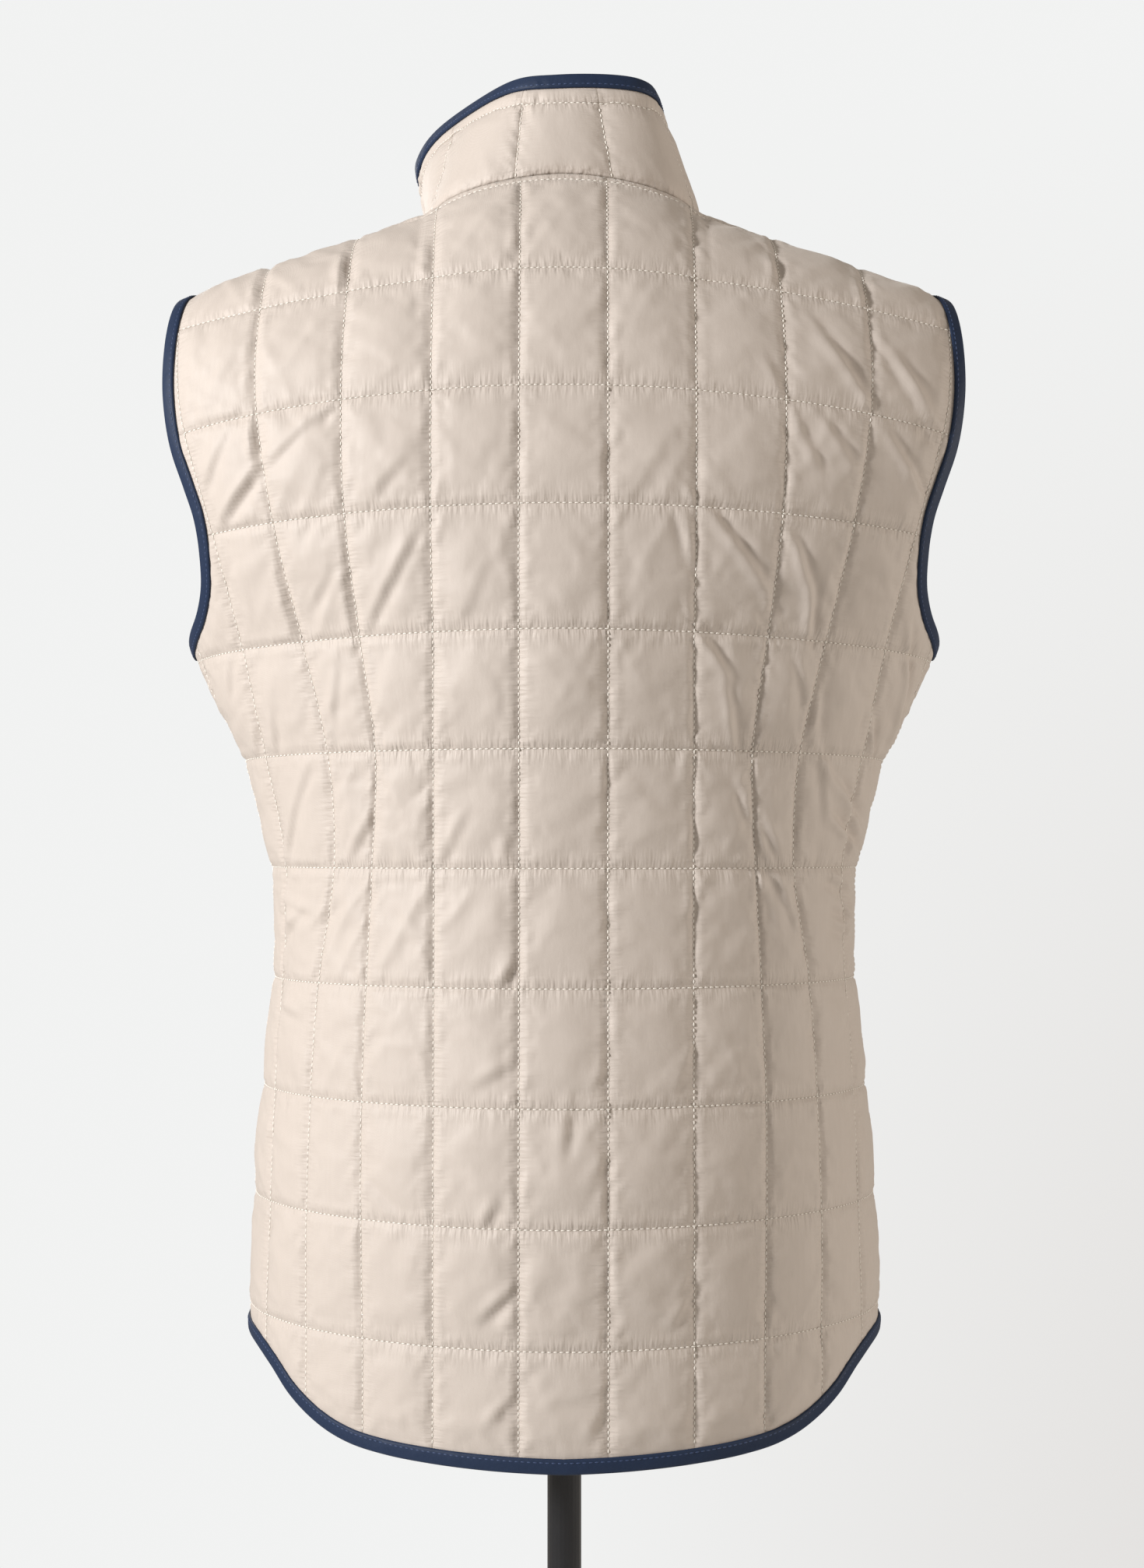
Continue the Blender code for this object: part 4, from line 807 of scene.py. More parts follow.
def relief(side, flat, column, row, calm, seed):
    """Height of all the small folds on the puffed cloth, calmed near seams and bindings."""
    to_column = np.abs(column - 0.5 - np.round(column - 0.5)) * COLUMN_SPACING
    to_row = np.abs(row - np.round(row)) * BOX_HEIGHT * MM
    to_line = np.minimum(to_column, to_row)
    height = puckers(flat, to_column, to_row, seed) * calm * np.where(to_line < 0.2 * MM, 0.0, 1.0)
    height *= 1 - np.exp(-to_line / (1.5 * MM))
    off_line = 0.35 + 0.65 * np.clip(to_line / (4 * MM), 0, 1)
    count = int(np.ptp(flat[:, 0]) / MM * CREASES)
    height += creases(flat, to_column, to_row, seed, count) * calm * off_line
    if side == BACK:
        height += drawn_folds(flat) * calm * off_line
    return height + star_folds(column, row) * calm


def panel_mesh(side, outline, flat, shape, core, outer):
    """Points and faces of a panel, and the cloth measures of its points.

    The outside is whole cells in the core and a band from there to the outline. The plain
    inside is on a coarse mesh, and a rim joins the two."""
    quads = grid_quads(np.arange(len(flat)).reshape(shape))
    quads = quads[core[quads].all(axis=1)]
    edges = np.sort(np.concatenate([quads[:, [k, (k + 1) % 4]] for k in range(4)]), axis=1)
    unique, counts = np.unique(edges, axis=0, return_counts=True)
    core_edges = unique[counts == 1]
    ring, used = np.unique(core_edges), np.unique(quads)
    count = len(outline)
    renumber = np.full(len(flat), -1)
    renumber[used] = count + np.arange(len(used))
    band_number = np.full(len(flat), -1)
    band_number[ring] = count + np.arange(len(ring))
    lines = [tuple(int(k) for k in band_number[edge]) for edge in core_edges]
    band = band_triangles(np.concatenate([outline, flat[ring]]), count, lines,
                          flat[core_edges[:, 0]], flat[core_edges[:, 1]])
    to_all = np.concatenate([np.arange(count), renumber[ring]])
    edge_place, edge_out = cloth_frame(side, outline)
    outside = np.concatenate([edge_place + edge_out * WALL / 2, outer[used]])
    faces = renumber[quads].tolist() + to_all[band].tolist()

    coarse = flat.reshape(*shape, 2)[::12, ::8].reshape(-1, 2)
    coarse = coarse[inside(coarse, outline, np.roll(outline, -1, axis=0))]
    closed = np.concatenate([outline, outline[:1]])
    coarse = coarse[away_from_line(coarse, closed) > COARSE_RIM]
    inner_flat = np.concatenate([outline, coarse])
    inner_faces = band_triangles(inner_flat, count, [], None, None)
    inner_place, inner_out = cloth_frame(side, inner_flat)
    shift = len(outside)
    points = np.concatenate([outside, inner_place - inner_out * WALL / 2])
    faces += (inner_faces[:, ::-1] + shift).tolist()
    here = np.arange(count)
    following = np.roll(here, -1)
    faces += np.stack([following, here, shift + here, shift + following], 1).tolist()
    return points, faces, np.concatenate([outline, flat[used], inner_flat])


def quilted_panel(name, side, columns, runs, bound, insets, seed):
    """A quilted panel in place of its CAD node, and the lines that its stitches follow.

    Its outline is made of the runs, the bound ones get a binding, and the insets are lines of
    stitches beside its seams."""
    outline = np.concatenate([run[:-1] for run in runs])
    closed = np.concatenate([outline, outline[:1]])
    bound = [edge.flat for edge in bound]
    low, high = outline[:, 1].min(), outline[:, 1].max()
    rows = np.arange(COARSE[1] * (len(ROWS) - 1) + 1) / COARSE[1]
    rows = rows[(row_height(rows, 0.0) > low - BOX_HEIGHT * MM)
                & (row_height(rows, 0.24) < high + BOX_HEIGHT * MM)]
    columns = np.arange(columns[0] * COARSE[0], columns[1] * COARSE[0] + 1) / COARSE[0]
    grid, column, row = quilt_grid(side, columns, rows)
    shape = column.shape
    flat = grid.reshape(-1, 2)
    rim, to_bound = away_from_line(flat, closed), away_from_lines(flat, bound)

    # the puff of each box, fullest a little below its middle
    up_box = row.ravel() % 1
    sag = np.where(up_box < 1e-6, 0.0, np.sin(math.pi * up_box ** 0.85)) ** 1.2
    box_share = sag * np.abs(np.cos(math.pi * column.ravel())) ** 0.75
    fade = np.clip(np.minimum(rim, to_bound - FLAT_EDGE) / PUFF_FADE, 0, 1)
    start = PUFF * np.sqrt(box_share) * fade ** 0.6
    moves = np.stack([np.zeros(len(flat)), start, np.zeros(len(flat))], 1)
    usable = inside(flat, outline, np.roll(outline, -1, axis=0)) & (rim > 0.5 * MM)
    held = (box_share < 1e-6) | (rim < 3 * MM) | (to_bound < FLAT_EDGE)
    moves = settled_moves(flat, shape, usable, held, start)
    place, out = (values.reshape(*shape, 3) for values in cloth_frame(side, flat))
    moves = moves.reshape(*shape, 3)
    lifted = (place + unit(np.gradient(place, axis=1)) * moves[..., :1]
              + unit(np.gradient(place, axis=0)) * moves[..., 2:] + out * moves[..., 1:2])

    # the finished cloth, on a mesh twice as fine
    stack = np.concatenate([lifted, out, grid, np.stack([column, row], -1)], -1)
    stack = finer(finer(stack).transpose(1, 0, 2)).transpose(1, 0, 2)
    shape = stack.shape[:2]
    stack = stack.reshape(-1, stack.shape[2])
    lifted, out, flat, column, row = stack[:, :3], stack[:, 3:6], stack[:, 6:8], stack[:, 8], stack[:, 9]
    out = unit(out)
    rim, to_bound = away_from_line(flat, closed), away_from_lines(flat, bound)
    calm = np.clip(np.minimum(rim, to_bound - FLAT_EDGE) / FOLD_FADE, 0, 1)
    outer = lifted + out * (WALL / 2 + relief(side, flat, column, row, calm, seed))[:, None]
    core = inside(flat, outline, np.roll(outline, -1, axis=0)) & (rim > CORE_RIM)
    points, faces, every = panel_mesh(side, outline, flat, shape, core, outer)
    seam = away_from_lines(every, [closed, *insets]) / MM
    piece = add_piece(name, points, faces, SATIN, quilt=quilt_number(side, every), seam=seam)
    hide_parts(name.removeprefix("cloth_"))
    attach(piece, BODY)
    shown = (core & (to_bound > FLAT_EDGE)).reshape(shape)
    outer, out = outer.reshape(*shape, 3), out.reshape(*shape, 3)
    column, row = column.reshape(shape), row.reshape(shape)
    return (stitch_lines(outer, out, column, row, shown)
            + [sampled_line(line[6:-6], side, outer, out, column[0], row[:, 0]) for line in insets])


def sampled_line(line, side, outer, out, columns, rows):
    """Places and outward directions of the finished cloth along a line of (across, up)."""
    number = quilt_number(side, spaced(line, 1.5 * MM))
    at = (number[:, 0] - 0.5 - columns[0]) / (columns[1] - columns[0])
    up = (number[:, 1] - rows[0]) / (rows[1] - rows[0])
    k = np.clip(at.astype(int), 0, outer.shape[1] - 2)
    r = np.clip(up.astype(int), 0, outer.shape[0] - 2)
    a, b = (at - k)[:, None], (up - r)[:, None]
    return tuple(v[r, k] * (1 - a) * (1 - b) + v[r, k + 1] * a * (1 - b) + v[r + 1, k] * (1 - a) * b
                 + v[r + 1, k + 1] * a * b for v in (outer, out))


def stitch_lines(outer, out, column, row, shown):
    """The stitched lines that lie on the panel, each as places and outward directions."""
    found = []
    across = [k for k in range(column.shape[1]) if abs((column[0, k] + 0.5) % 1) < 1e-6]
    upward = [k for k in range(row.shape[0]) if abs(row[k, 0] % 1) < 1e-6]
    turned, turned_out = outer.transpose(1, 0, 2), out.transpose(1, 0, 2)
    for places, outs, masks in ((turned[across], turned_out[across], shown.T[across]),
                                (outer[upward], out[upward], shown[upward])):
        for line, line_out, mask in zip(places, outs, masks):
            kept = np.nonzero(mask)[0]
            runs = np.split(kept, np.nonzero(np.diff(kept) > 1)[0] + 1)
            found += [(line[run], line_out[run]) for run in runs if len(run) > 3]
    return found


# ---------------------------------------------------------------------------
# The back and the two fronts, cut from the quilted cloth. Side and shoulder
# seams are sewn from the inside, so the boxes end there in a puckered groove.
# ---------------------------------------------------------------------------
EDGE_STEP = 3 * MM
INSET = np.array((9 * MM, 0))  # from a side seam to the line of stitches beside it
# outlines as (across, up), mm
BACK_HEM = ((0, 702.6), (40, 703.6), (70, 704.8), (95, 706.3), (117, 709), (131, 712.5), (145, 717.7),
            (162, 726), (182, 738), (200, 744.5), (220, 747.5), (243, 748))
FRONT_HEM = ((0, 712), (90, 712), (125, 714), (150, 719), (172, 726), (192, 735), (212, 743),
             (235, 748))
BACK_ARMHOLE = ((248, 1127), (237, 1133), (222, 1143), (213, 1155), (208.5, 1173), (208.5, 1190),
                (213, 1207), (219, 1226), (222.5, 1256), (222, 1284), (219, 1315), (213.3, 1345.2))
FRONT_ARMHOLE = ((269, 1127), (245, 1131), (216, 1143), (199, 1165), (191, 1190), (190, 1225),
                 (197, 1263), (208, 1305), (214, 1335), (217.3, 1364.8))
BACK_NECK = ((75.2, 1411.6), (71, 1394), (60, 1384), (45, 1381.5), (25, 1381.5), (0, 1382.5))
FRONT_NECK = {LEFT: ((75.4, 1437.5), (75, 1416), (73, 1396), (68, 1366), (60, 1338)),
              RIGHT: ((75.4, 1437.5), (75, 1415), (71, 1390), (58, 1358), (36, 1328))}


def side_seam(side):
    heights = np.linspace(HEM_CORNER_HEIGHT, UNDERARM_HEIGHT, 125)
    return np.stack([side_length(side, heights) - SEAM_GAP / 2, heights], 1)


def shoulder_run(side):
    return shoulder_seam(side, np.linspace(SHOULDER_TIP_X - 0.5 * MM, NECK_SIDE_X, 44))


def mirrored(run):
    return run[::-1] * np.array([-1.0, 1.0])


seam, shoulder = side_seam(BACK), shoulder_run(BACK)
hem = spaced(np.array(BACK_HEM) * MM, EDGE_STEP)
hem[-1] = seam[0]
armhole = spaced(np.array(BACK_ARMHOLE) * MM, EDGE_STEP)
armhole[0], armhole[-1] = seam[-1], shoulder[0]
back_neck = spaced(np.array(BACK_NECK) * MM, EDGE_STEP)
back_neck[0] = shoulder[-1]
whole_hem = np.concatenate([mirrored(hem)[:-1], hem])
down, up_seam, outward = seam[0] - seam[3], seam[-1] - seam[-4], shoulder[0] - shoulder[2]
back_hem_edge = Edge(BACK, whole_hem, down * (-1, 1), down)
back_arm_edges = {LEFT: Edge(BACK, armhole, up_seam, outward),
                  RIGHT: Edge(BACK, armhole * (-1, 1), up_seam * (-1, 1), outward * (-1, 1), turn=-1)}
half = [hem, seam, armhole, shoulder, back_neck]
runs = [whole_hem, *half[1:], *[mirrored(run) for run in half[:0:-1]]]
stitched_lines = {"back": quilted_panel("cloth_back", BACK, (-6, 6), runs,
                                        [back_hem_edge, *back_arm_edges.values()],
                                        [seam - INSET, (seam - INSET) * (-1, 1)], 1)}
front_edges, front_necks = {}, {}
for hand, word, seed in ((LEFT, "left", 2), (RIGHT, "right", 3)):
    seam, shoulder = side_seam(FRONT), shoulder_run(FRONT)
    hem = np.array(FRONT_HEM) * MM
    hem[0, 0] = FRONT_EDGE_X
    hem = spaced(hem, EDGE_STEP)
    hem[-1] = seam[0]
    armhole = spaced(np.array(FRONT_ARMHOLE) * MM, EDGE_STEP)
    armhole[0], armhole[-1] = seam[-1], shoulder[0]
    neck = spaced(np.array(FRONT_NECK[hand]) * MM, EDGE_STEP)
    neck[0] = shoulder[-1]
    closed_up = np.linspace(hem[0, 1], ZIP_CLOSED_TO, 168)
    closed_up = np.stack([np.full(len(closed_up), FRONT_EDGE_X), closed_up], 1)
    opened = spaced([closed_up[-1], neck[-1]], EDGE_STEP)
    opened[:, 0] -= 3 * MM * np.sin(np.linspace(0, math.pi, len(opened)))
    front_edge = np.concatenate([closed_up[:-1], opened[:-1], neck[-1:]])
    hem_edge = Edge(FRONT, hem, (0.0, -1.0), seam[0] - seam[3])
    arm_edge = Edge(FRONT, armhole, seam[-1] - seam[-4], shoulder[0] - shoulder[2])
    zip_edge = Edge(FRONT, front_edge, (-1.0, 0.0), None, turn=-1)
    runs = [hem, seam, armhole, shoulder, neck, front_edge[::-1]]
    if hand == RIGHT:
        runs = [run * (-1, 1) for run in runs]
        for edge in (hem_edge, arm_edge, zip_edge):
            edge.flat, edge.out = edge.flat * (-1, 1), edge.out * (-1, 1)
    columns = (0, 6) if hand == LEFT else (-6, 0)
    stitched_lines[word] = quilted_panel("cloth_front_" + word, FRONT, columns, runs,
                                         [hem_edge, arm_edge], [(seam - INSET) * (hand, 1)], seed)
    front_edges[hand] = (hem_edge, arm_edge, zip_edge)
    front_necks[hand] = runs[4]


# ---------------------------------------------------------------------------
# The stand collar, in the same quilted cloth, sewn to the neck edge. It stands
# up and leans open at the front, and a stitched band runs under its top edge.
# ---------------------------------------------------------------------------
# share of the neck seam from the wearer's left front end, and the top edge's x, y, z in mm
COLLAR_TOP = np.array((
    (0.0, 78, -52, 1400), (0.149, 84, -25, 1414), (0.245, 68, 4, 1424), (0.312, 42, 45, 1427),
    (0.478, 3, 77, 1427), (0.596, -38, 72, 1427), (0.705, -50, 48, 1424), (0.805, -51, 2, 1420),
    (1.0, -38, -50, 1402)), float)
COLLAR_COLUMN_SHARE = 0.129    # of the neck seam, from one stitched line to the next
COLLAR_FIRST_COLUMN = 0.143
COLLAR_ROWS, COLLAR_STEP = 49, 1.9 * MM  # mesh rows, and the mesh's step along the collar
COLLAR_CREASES = 130
COLLAR_STITCH_ROW = BINDING_WIDTH + 8.5 * MM
# the second stitched line behind the left shoulder stands upright: its foot is moved along
UPRIGHT_AT, UPRIGHT_REACH, UPRIGHT_MOVE = 0.38, 0.1, 0.016


def join_stations(*parts):
    return [np.concatenate(arrays) for arrays in zip(*parts)]


def neck_stations():
    left = Edge(FRONT, front_necks[LEFT]).stations()
    right = Edge(FRONT, front_necks[RIGHT], turn=-1).stations()
    back = Edge(BACK, np.concatenate([back_neck, mirrored(back_neck)[1:]])).stations()
    for corner, front in ((0, left), (-1, right)):
        for array, front_array in zip(back, front):
            array[corner] = (array[corner] + front_array[0]) / 2
    return join_stations([array[:0:-1] for array in left], back, [array[1:] for array in right])


def make_collar():
    """The collar in place of its CAD node, its middle surface and outward directions, and the
    lines that its stitches follow."""
    edge, edge_out, _, _, away = neck_stations()
    base = edge + away * 1.5 * SEAM_GAP
    for _ in range(6):
        edge_out[1:-1] = (edge_out[:-2] + 2 * edge_out[1:-1] + edge_out[2:]) / 4
    length = distances(base)
    count = int(length[-1] / COLLAR_STEP)
    share = np.linspace(0, 1, count)
    foot = share + UPRIGHT_MOVE * np.exp(-((share - UPRIGHT_AT) / UPRIGHT_REACH) ** 2)
    foot = np.clip(foot, 0, 1) * length[-1]
    base, edge_out = read_along(foot, length, base), read_along(foot, length, edge_out)
    top = [smooth_column(share, COLLAR_TOP[:, 0], COLLAR_TOP[:, k]) for k in (1, 2, 3)]
    top = np.stack(top, 1) * MM
    rise = np.linspace(0, 1, COLLAR_ROWS)
    grid = base[None] + (top - base)[None] * rise[:, None, None]
    along = np.gradient(grid, axis=1)
    out = unit(np.cross(along, np.repeat((top - base)[None], COLLAR_ROWS, axis=0)))
    middle = grid - np.array([0.0, 10 * MM, 0.0])
    out *= np.sign(np.sum(out * middle * (1, 1, 0), axis=2))[:, :, None]
    near_seam = np.clip(1 - rise / 0.09, 0, 1)[:, None, None]
    out = unit(out * (1 - near_seam) + edge_out[None] * near_seam)
    column = (share - COLLAR_FIRST_COLUMN) / COLLAR_COLUMN_SHARE
    to_column = np.abs(column - np.round(column)) * COLLAR_COLUMN_SHARE * length[-1]
    height = np.linalg.norm(top - base, axis=1)
    up = rise[:, None] * height[None]
    from_top = (1 - rise)[:, None] * height[None]
    # the puff of the boxes, and of the band between their last row and the binding
    box = np.clip(np.minimum(up, from_top - COLLAR_STITCH_ROW), 0, None)
    full = np.minimum(box / (9 * MM), 1.0) ** 0.55 * np.abs(np.sin(math.pi * column))[None] ** 0.5
    full = full * np.clip(np.minimum(share, 1 - share) / 0.04, 0, 1)[None]
    in_band = np.clip((from_top - BINDING_WIDTH) / (COLLAR_STITCH_ROW - BINDING_WIDTH), 0, 1)
    puff = 0.9 * PUFF * full + 1.2 * MM * np.sin(math.pi * in_band) ** 0.6
    flat = np.stack([np.broadcast_to(share * length[-1], up.shape), up], -1).reshape(-1, 2)
    to_row = np.minimum(up, np.abs(from_top - COLLAR_STITCH_ROW)).ravel()
    to_column = np.broadcast_to(to_column, up.shape).ravel()
    ripple = (puckers(flat, to_column, to_row, 5)
              + creases(flat, to_column, to_row, 6, COLLAR_CREASES))
    calm = np.clip(from_top.ravel() / (2 * MM) - BINDING_WIDTH / (2 * MM), 0, 1)
    calm *= np.clip(up.ravel() / (3 * MM), 0, 1)
    ripple = (ripple * calm).reshape(up.shape)
    half_wall = np.where(from_top < BINDING_WIDTH + 1 * MM, WALL / 2 - SEAM_GAP, WALL / 2)[..., None]
    outer = grid + out * (half_wall + (puff + ripple)[..., None])
    inner = grid - out * half_wall

    # the outside, the inside and the rim between them
    index = np.arange(COLLAR_ROWS * count).reshape(COLLAR_ROWS, count)
    quads = grid_quads(index)
    border = np.concatenate([index[0], index[1:, -1], index[-1, -2::-1], index[-2:0:-1, 0]])
    shift = index.size
    following = np.roll(border, -1)
    faces = quads.tolist() + (quads[:, ::-1] + shift).tolist()
    faces += np.stack([border, border + shift, following + shift, following], 1).tolist()
    quilt = np.stack([np.broadcast_to(column, up.shape), up / (height - COLLAR_STITCH_ROW)], -1)
    quilt = np.tile(quilt.reshape(-1, 2), (2, 1))
    seam = np.tile(np.minimum(up, from_top).ravel() / MM, 2)
    points = np.concatenate([outer.reshape(-1, 3), inner.reshape(-1, 3)])
    piece = add_piece("cloth_collar", points, faces, SATIN, quilt=quilt, seam=seam)
    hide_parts("collar")
    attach(piece, BODY)
    lines = []
    for number in range(10):
        at = np.argmin(np.abs(column - number))
        shown = from_top[:, at] > COLLAR_STITCH_ROW - 0.5 * MM
        if 0.03 < share[at] < 0.97:
            lines.append((outer[shown, at], out[shown, at]))
    rows = np.argmin(np.abs(from_top - COLLAR_STITCH_ROW), axis=0)
    lines.append((outer[rows, np.arange(count)], out[rows, np.arange(count)]))
    return grid, out, lines


collar_grid, collar_out, stitched_lines["collar"] = make_collar()

# ---------------------------------------------------------------------------
# The bindings: 7 mm wide navy satin tape, folded over every raw edge and
# stitched down through both of its legs.
# ---------------------------------------------------------------------------
BINDING_WALL = 0.9 * MM


def navy_satin():
    """Ribbed navy satin tape, slightly crumpled."""
    cloth = Finish("navy_satin_tape", Specular_IOR_Level=0.22)
    place = cloth.place()
    ribs = cloth.noise(place, 700, 2)
    cloth.set("Base Color", cloth.blend(ribs * 0.6, (0.014, 0.026, 0.06, 1), (0.022, 0.037, 0.078, 1)))
    cloth.set("Roughness", 0.5 + 0.12 * ribs)
    crumple = cloth.noise(place, 190, 3)
    cloth.set("Normal", cloth.bump(crumple, 0.0006, 0.5))
    return cloth


NAVY = navy_satin()
TURN = np.linspace(0, math.pi, 9)[1:-1]


def binding_section(edge, edge_out, inner, inner_out, away, wave):
    """The tape's section: an outer leg, a rounded turn, an inner leg, and back inside them."""
    def between(share, off):
        outward = inner_out + (edge_out - inner_out) * share
        return inner + (edge - inner) * share + outward * off

    near = WALL / 2 + SEAM_GAP
    far = near + BINDING_WALL
    swell = wave * 0.25 * MM
    leg = [inner + inner_out * (far - 0.35 * MM)]
    for share in (0.15, 0.3, 0.5, 0.7, 0.88):
        lift = 0.3 * MM * math.sin(math.pi * share)
        lift += swell * math.sin(math.pi * min(share * 1.3, 1.0))
        leg.append(between(share, far + lift))
    turn = [edge + edge_out * far * math.cos(a) + away * (1.5 * BINDING_WALL) * math.sin(a) for a in TURN]
    back = [between(share, -far) for share in (0.9, 0.5)]
    return [inner + inner_out * near, *leg, edge + edge_out * far, *turn, edge - edge_out * far, *back,
            inner - inner_out * far, inner - inner_out * near, edge - edge_out * near + away * SEAM_GAP,
            edge + edge_out * near + away * SEAM_GAP]


def strip(name, stations, section_of, finish):
    """A solid strip with the same section at each station, closed at both ends."""
    count = len(stations[0])
    wave = value_noise(np.arange(count) / 1.7 + len(name) * 13, np.full(count, 0.5))
    rings = np.array([section_of(*station) for station in zip(*stations, wave)])
    corners = rings.shape[1]
    index = np.arange(count * corners).reshape(count, corners)
    beside = np.roll(index, -1, axis=1)
    faces = np.stack([index[:-1], beside[:-1], beside[1:], index[1:]], -1).reshape(-1, 4).tolist()
    faces += [index[0, ::-1].tolist(), index[-1].tolist()]
    return add_piece(name, rings.reshape(-1, 3), faces, finish)


def bind(node, stations, carrier):
    """A binding in place of a CAD node, with the line that its stitches follow."""
    piece = strip("tape_" + node, stations, binding_section, NAVY)
    edge = stations[0]
    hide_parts(node)
    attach(piece, BODY)
    edge, edge_out, inner, inner_out, _ = stations
    share = 1.9 * MM / BINDING_WIDTH
    line_out = inner_out + (edge_out - inner_out) * share
    far = WALL / 2 + SEAM_GAP + BINDING_WALL + 0.22 * MM
    return inner + (edge - inner) * share + line_out * far, line_out


tape_lines = [bind("binding_hem_back", back_hem_edge.stations(), ["cloth_back"])]
for hand, word in ((LEFT, "left"), (RIGHT, "right")):
    hem_edge, arm_edge, zip_edge = front_edges[hand]
    tape_lines.append(bind("binding_hem_front_" + word, hem_edge.stations(), ["cloth_front_" + word]))
    back_part, front_part = back_arm_edges[hand].stations(), arm_edge.stations()
    tip = [(a[-1:] + b[-1:]) / 2 for a, b in zip(back_part, front_part)]
    whole = join_stations([a[:-1] for a in back_part], tip, [a[-2::-1] for a in front_part])
    tape_lines.append(bind("binding_armhole_" + word, whole, ["cloth_back", "cloth_front_" + word]))
collar_top, collar_rise = collar_grid[-1], unit(collar_grid[-1] - collar_grid[0])
whole = [collar_top, collar_out[-1], collar_top - collar_rise * BINDING_WIDTH, collar_out[-4],
         collar_rise]
tape_lines.append(bind("binding_collar", whole, ["cloth_collar"]))

# ---------------------------------------------------------------------------
# The stitching: pale polyester thread, in lockstitches of 3.1 mm that sink into
# their needle holes. The bindings are sewn down with navy thread.
# ---------------------------------------------------------------------------
STITCH, STITCH_PITCH, THREAD = 2.2 * MM, 3.1 * MM, 0.4 * MM
thread = Finish("pale_thread", Roughness=0.55)
thread.set("Base Color", (0.84, 0.79, 0.72, 1))
navy_thread = Finish("navy_thread", Roughness=0.5)
navy_thread.set("Base Color", (0.035, 0.06, 0.14, 1))


def taken_apart(model):
    """The points and faces of an object modelled at the origin, which is then removed."""
    points = np.array([tuple(vertex.co) for vertex in model.data.vertices])
    faces = [list(face.vertices) for face in model.data.polygons]
    bpy.data.objects.remove(model, do_unlink=True)
    return points, faces


def copies(name, model, centre, axes, finish, smooth=True):
    """One mesh with a copy of a model at each centre, turned to the three axes given there."""
    points, faces = model
    placed = centre[:, None] + sum(points[None, :, k, None] * axes[k][:, None] for k in range(3))
    shifts = range(0, len(centre) * len(points), len(points))
    faces = [[vertex + shift for vertex in face] for shift in shifts for face in faces]
    piece = add_piece(name, placed.reshape(-1, 3), faces, finish, smooth)
    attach(piece, BODY)
    return piece


def model_stitch():
    """A single stitch along X, thick in the middle and thin where it enters the cloth."""
    bpy.ops.mesh.primitive_uv_sphere_add(segments=6, ring_count=4, radius=1, location=(0, 0, 0))
    stitch = bpy.context.object
    stitch.rotation_euler = (0, math.pi / 2, 0)
    bpy.ops.object.transform_apply(location=False, rotation=True, scale=False)
    stitch.scale = (STITCH / 2, THREAD, 0.9 * THREAD)
    bpy.ops.object.transform_apply(location=False, rotation=False, scale=True)
    return taken_apart(stitch)


STITCH_MODEL = model_stitch()


def sew(name, lines, finish, lift=0.0):
    """Stitches along lines of places and outward directions."""
    centres, forwards, ups = [], [], []
    for places, outs in lines:
        length = distances(places)
        at = np.arange(STITCH_PITCH / 2, length[-1] - STITCH_PITCH / 2, STITCH_PITCH)
        if len(at):
            first, last = (read_along(at + half, length, places) for half in (-STITCH / 2, STITCH / 2))
            centres.append((first + last) / 2)
            forwards.append(unit(last - first))
            ups.append(read_along(at, length, outs))
    centre, forward, up = (np.concatenate(parts) for parts in (centres, forwards, ups))
    side = unit(np.cross(up, forward))
    up = np.cross(forward, side)
    copies(name, STITCH_MODEL, centre + up * lift, (forward, side, up), finish)


for part, lines in stitched_lines.items():
    sew("stitches_" + part, lines, thread, 0.2 * THREAD)
sew("stitches_bindings", tape_lines, navy_thread, -0.1 * MM)

# ---------------------------------------------------------------------------
# The front zip: woven tapes sewn behind the fronts' edges, with cast metal teeth.
# The open top shows its teeth on both sides up to the collar.
# ---------------------------------------------------------------------------
TEETH_FROM, TEETH_TO = 2.2 * MM, FRONT_EDGE_X - SEAM_GAP / 2
TOOTH_PITCH = 2.6 * MM
TOOTH_WIDTH, TOOTH_DEPTH = 1.3 * MM, 2.2 * MM
tape_cloth = Finish("navy_zip_tape", Roughness=0.85)
weave = tape_cloth.noise(tape_cloth.place(), 1500, 2)
tape_cloth.set("Base Color", tape_cloth.blend(weave, (0.02, 0.03, 0.05, 1), (0.05, 0.065, 0.1, 1)))
nickel = Finish("zip_nickel", Metallic=1.0)
nickel.set("Base Color", (0.42, 0.4, 0.37, 1))
nickel.set("Roughness", 0.28 + 0.12 * nickel.noise(nickel.place(), 900, 2))


def tape_section(edge, edge_out, inner, inner_out, away, _wave):
    """The tape's section behind the cloth, with a bead along the edge that holds the teeth."""
    face = WALL / 2 + SEAM_GAP
    back = face + 0.7 * MM
    inner = inner - (edge - inner) * 0.3
    return [inner - inner_out * face, edge - edge_out * face,
            edge + away * TEETH_FROM - edge_out * (face - 0.4 * MM),
            edge + away * (TEETH_FROM + 0.6 * MM) - edge_out * face,
            edge + away * (TEETH_FROM + 0.6 * MM) - edge_out * back, edge - edge_out * back,
            inner - inner_out * back]


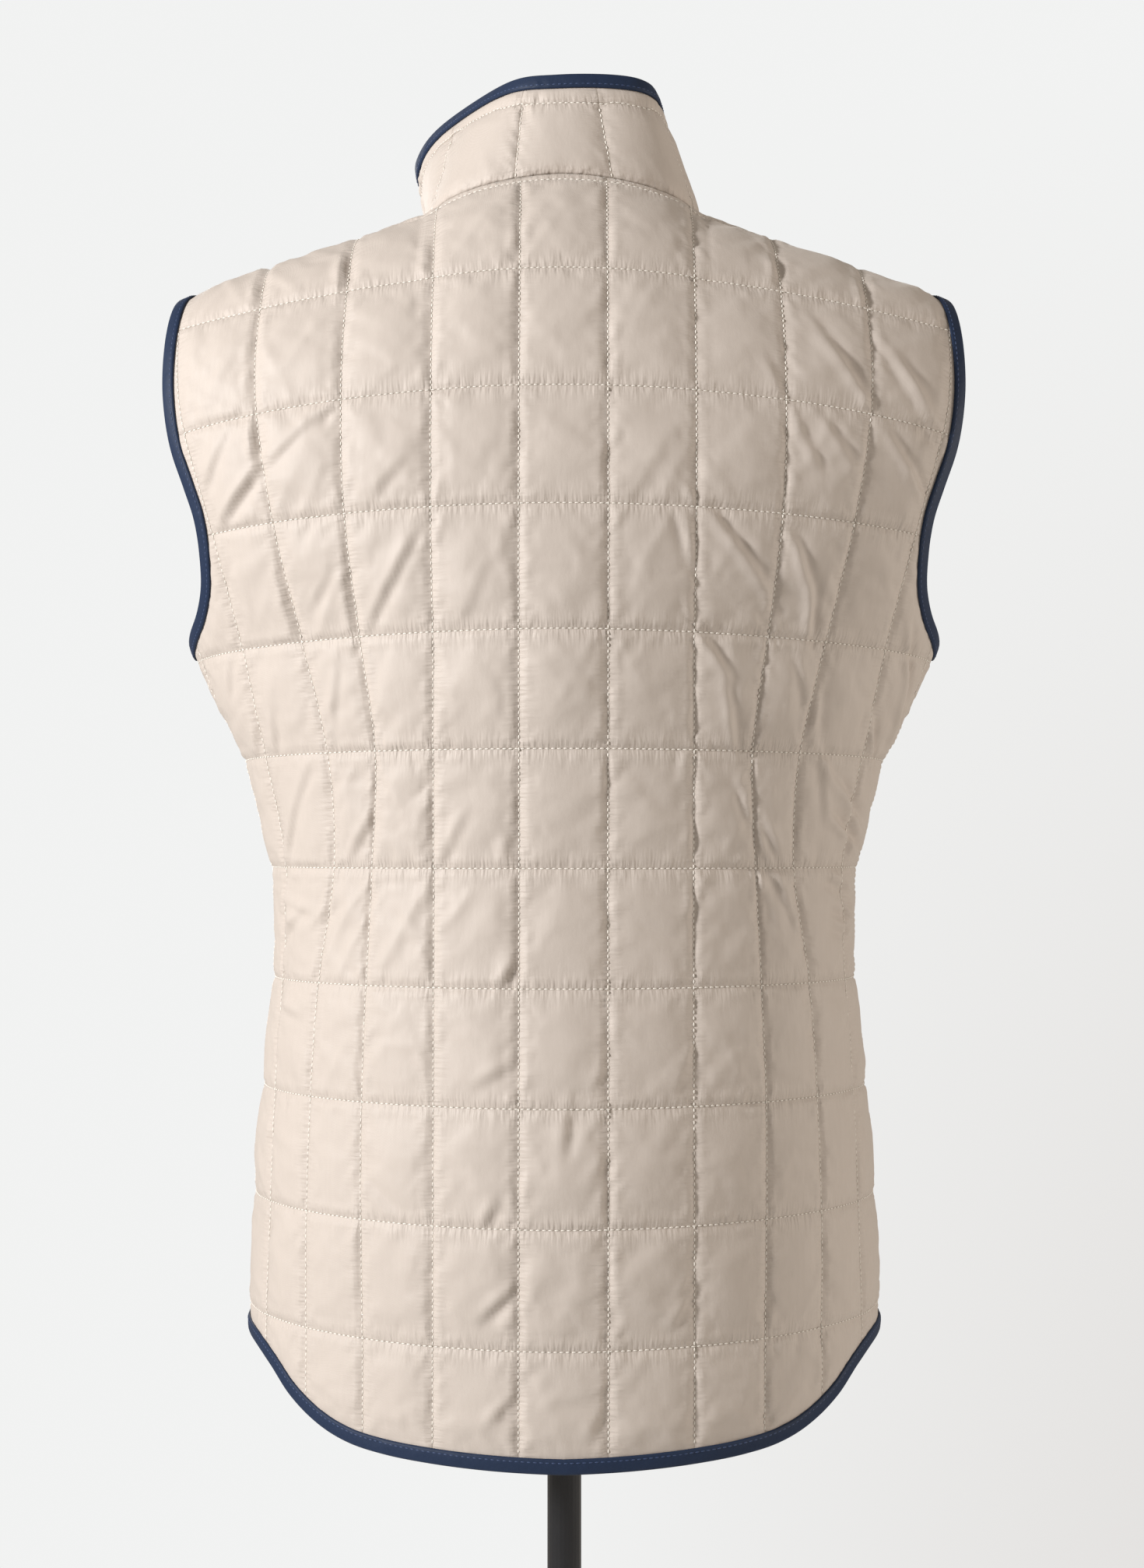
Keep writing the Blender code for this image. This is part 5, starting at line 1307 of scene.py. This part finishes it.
def model_tooth():
    """A cast tooth: a bevelled block that reaches along X from inside the tape and narrows there."""
    root, nose = TEETH_FROM - 1.2 * MM, TEETH_TO
    bpy.ops.mesh.primitive_cube_add(size=1, location=((root + nose) / 2, 0, -TOOTH_DEPTH / 2))
    tooth = bpy.context.object
    tooth.scale = (nose - root, TOOTH_WIDTH, TOOTH_DEPTH)
    bpy.ops.object.transform_apply(location=True, rotation=False, scale=True)
    bpy.ops.object.mode_set(mode="EDIT")
    bpy.ops.mesh.select_all(action="SELECT")
    bpy.ops.mesh.bevel(offset=0.3 * MM, segments=1)
    bpy.ops.mesh.select_all(action="DESELECT")
    bpy.ops.object.mode_set(mode="OBJECT")
    for vertex in tooth.data.vertices:
        vertex.select = vertex.co.x < (root + nose) / 2
    bpy.ops.object.mode_set(mode="EDIT")
    bpy.ops.transform.resize(value=(1, 0.7, 0.8))
    bpy.ops.object.mode_set(mode="OBJECT")
    return taken_apart(tooth)


TOOTH_MODEL = model_tooth()


def zip_teeth(name, stations, offset):
    """A row of teeth along the tape's edge."""
    edge, edge_out, _, _, away = stations
    length = distances(edge)
    at = np.arange(1 * MM + offset, length[-1] - 1 * MM, TOOTH_PITCH)
    place, out, side = (read_along(at, length, array) for array in (edge, edge_out, away))
    out = unit(out)
    side = unit(side - out * np.sum(side * out, axis=1)[:, None])
    axes = (side, np.cross(out, side), out)
    return copies(name, TOOTH_MODEL, place, axes, nickel, smooth=False)


def make_zip(node, stations, carrier, offset):
    """A tape in place of a CAD node, and its teeth."""
    piece = strip("tape_" + node, stations, tape_section, tape_cloth)
    teeth = zip_teeth("teeth_" + node, stations, offset)
    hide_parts(node)
    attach(piece, BODY)


# the right side's teeth stand between the left side's
for hand, word, end, beside, offset in ((LEFT, "left", 0, 4, 0.0), (RIGHT, "right", -1, -5, TOOTH_PITCH / 2)):
    stations = front_edges[hand][2].stations()
    make_zip("zip_" + word, [a[2:-2] for a in stations], "cloth_front_" + word, offset)
    edge, out = collar_grid[:, end], collar_out[:, end]
    inward = unit(collar_grid[:, beside] - edge)
    run = [edge, out, edge + inward * BINDING_WIDTH, out, -inward]
    make_zip("zip_collar_" + word, [a[2:-7] for a in run], "cloth_collar", offset)

# ---------------------------------------------------------------------------
# The dress form: a bust without arms or legs, padded and covered in pale jersey.
# It carries the vest at the shoulders, and all of it is underneath.
# ---------------------------------------------------------------------------
linen = Finish("form_jersey", Roughness=0.9, Sheen_Weight=0.2)
knit = linen.noise(linen.place(), 900, 2)
linen.set("Base Color", linen.blend(knit, (0.56, 0.52, 0.45, 1), (0.66, 0.62, 0.55, 1)))
linen.set("Normal", linen.bump(knit, 0.0003, 0.5))

# ---------------------------------------------------------------------------
# The stand: a black lacquered steel pole on a round plate, with a flange under
# the form. The zip's cast slider and pull tab take their metal here too.
# ---------------------------------------------------------------------------
lacquer = Finish("black_lacquer", Coat_Weight=0.3, Coat_Roughness=0.2)
lacquer.set("Base Color", (0.012, 0.012, 0.014, 1))
lacquer.set("Roughness", 0.3 + 0.1 * lacquer.noise(lacquer.place(), 60, 3))
for node, finish in (("form_torso", linen), ("pole", lacquer), ("base_plate", lacquer),
                     ("form_flange", lacquer), ("zip_slider", nickel), ("zip_puller", nickel)):
    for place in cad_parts[node].material_slots:
        place.material = finish.material
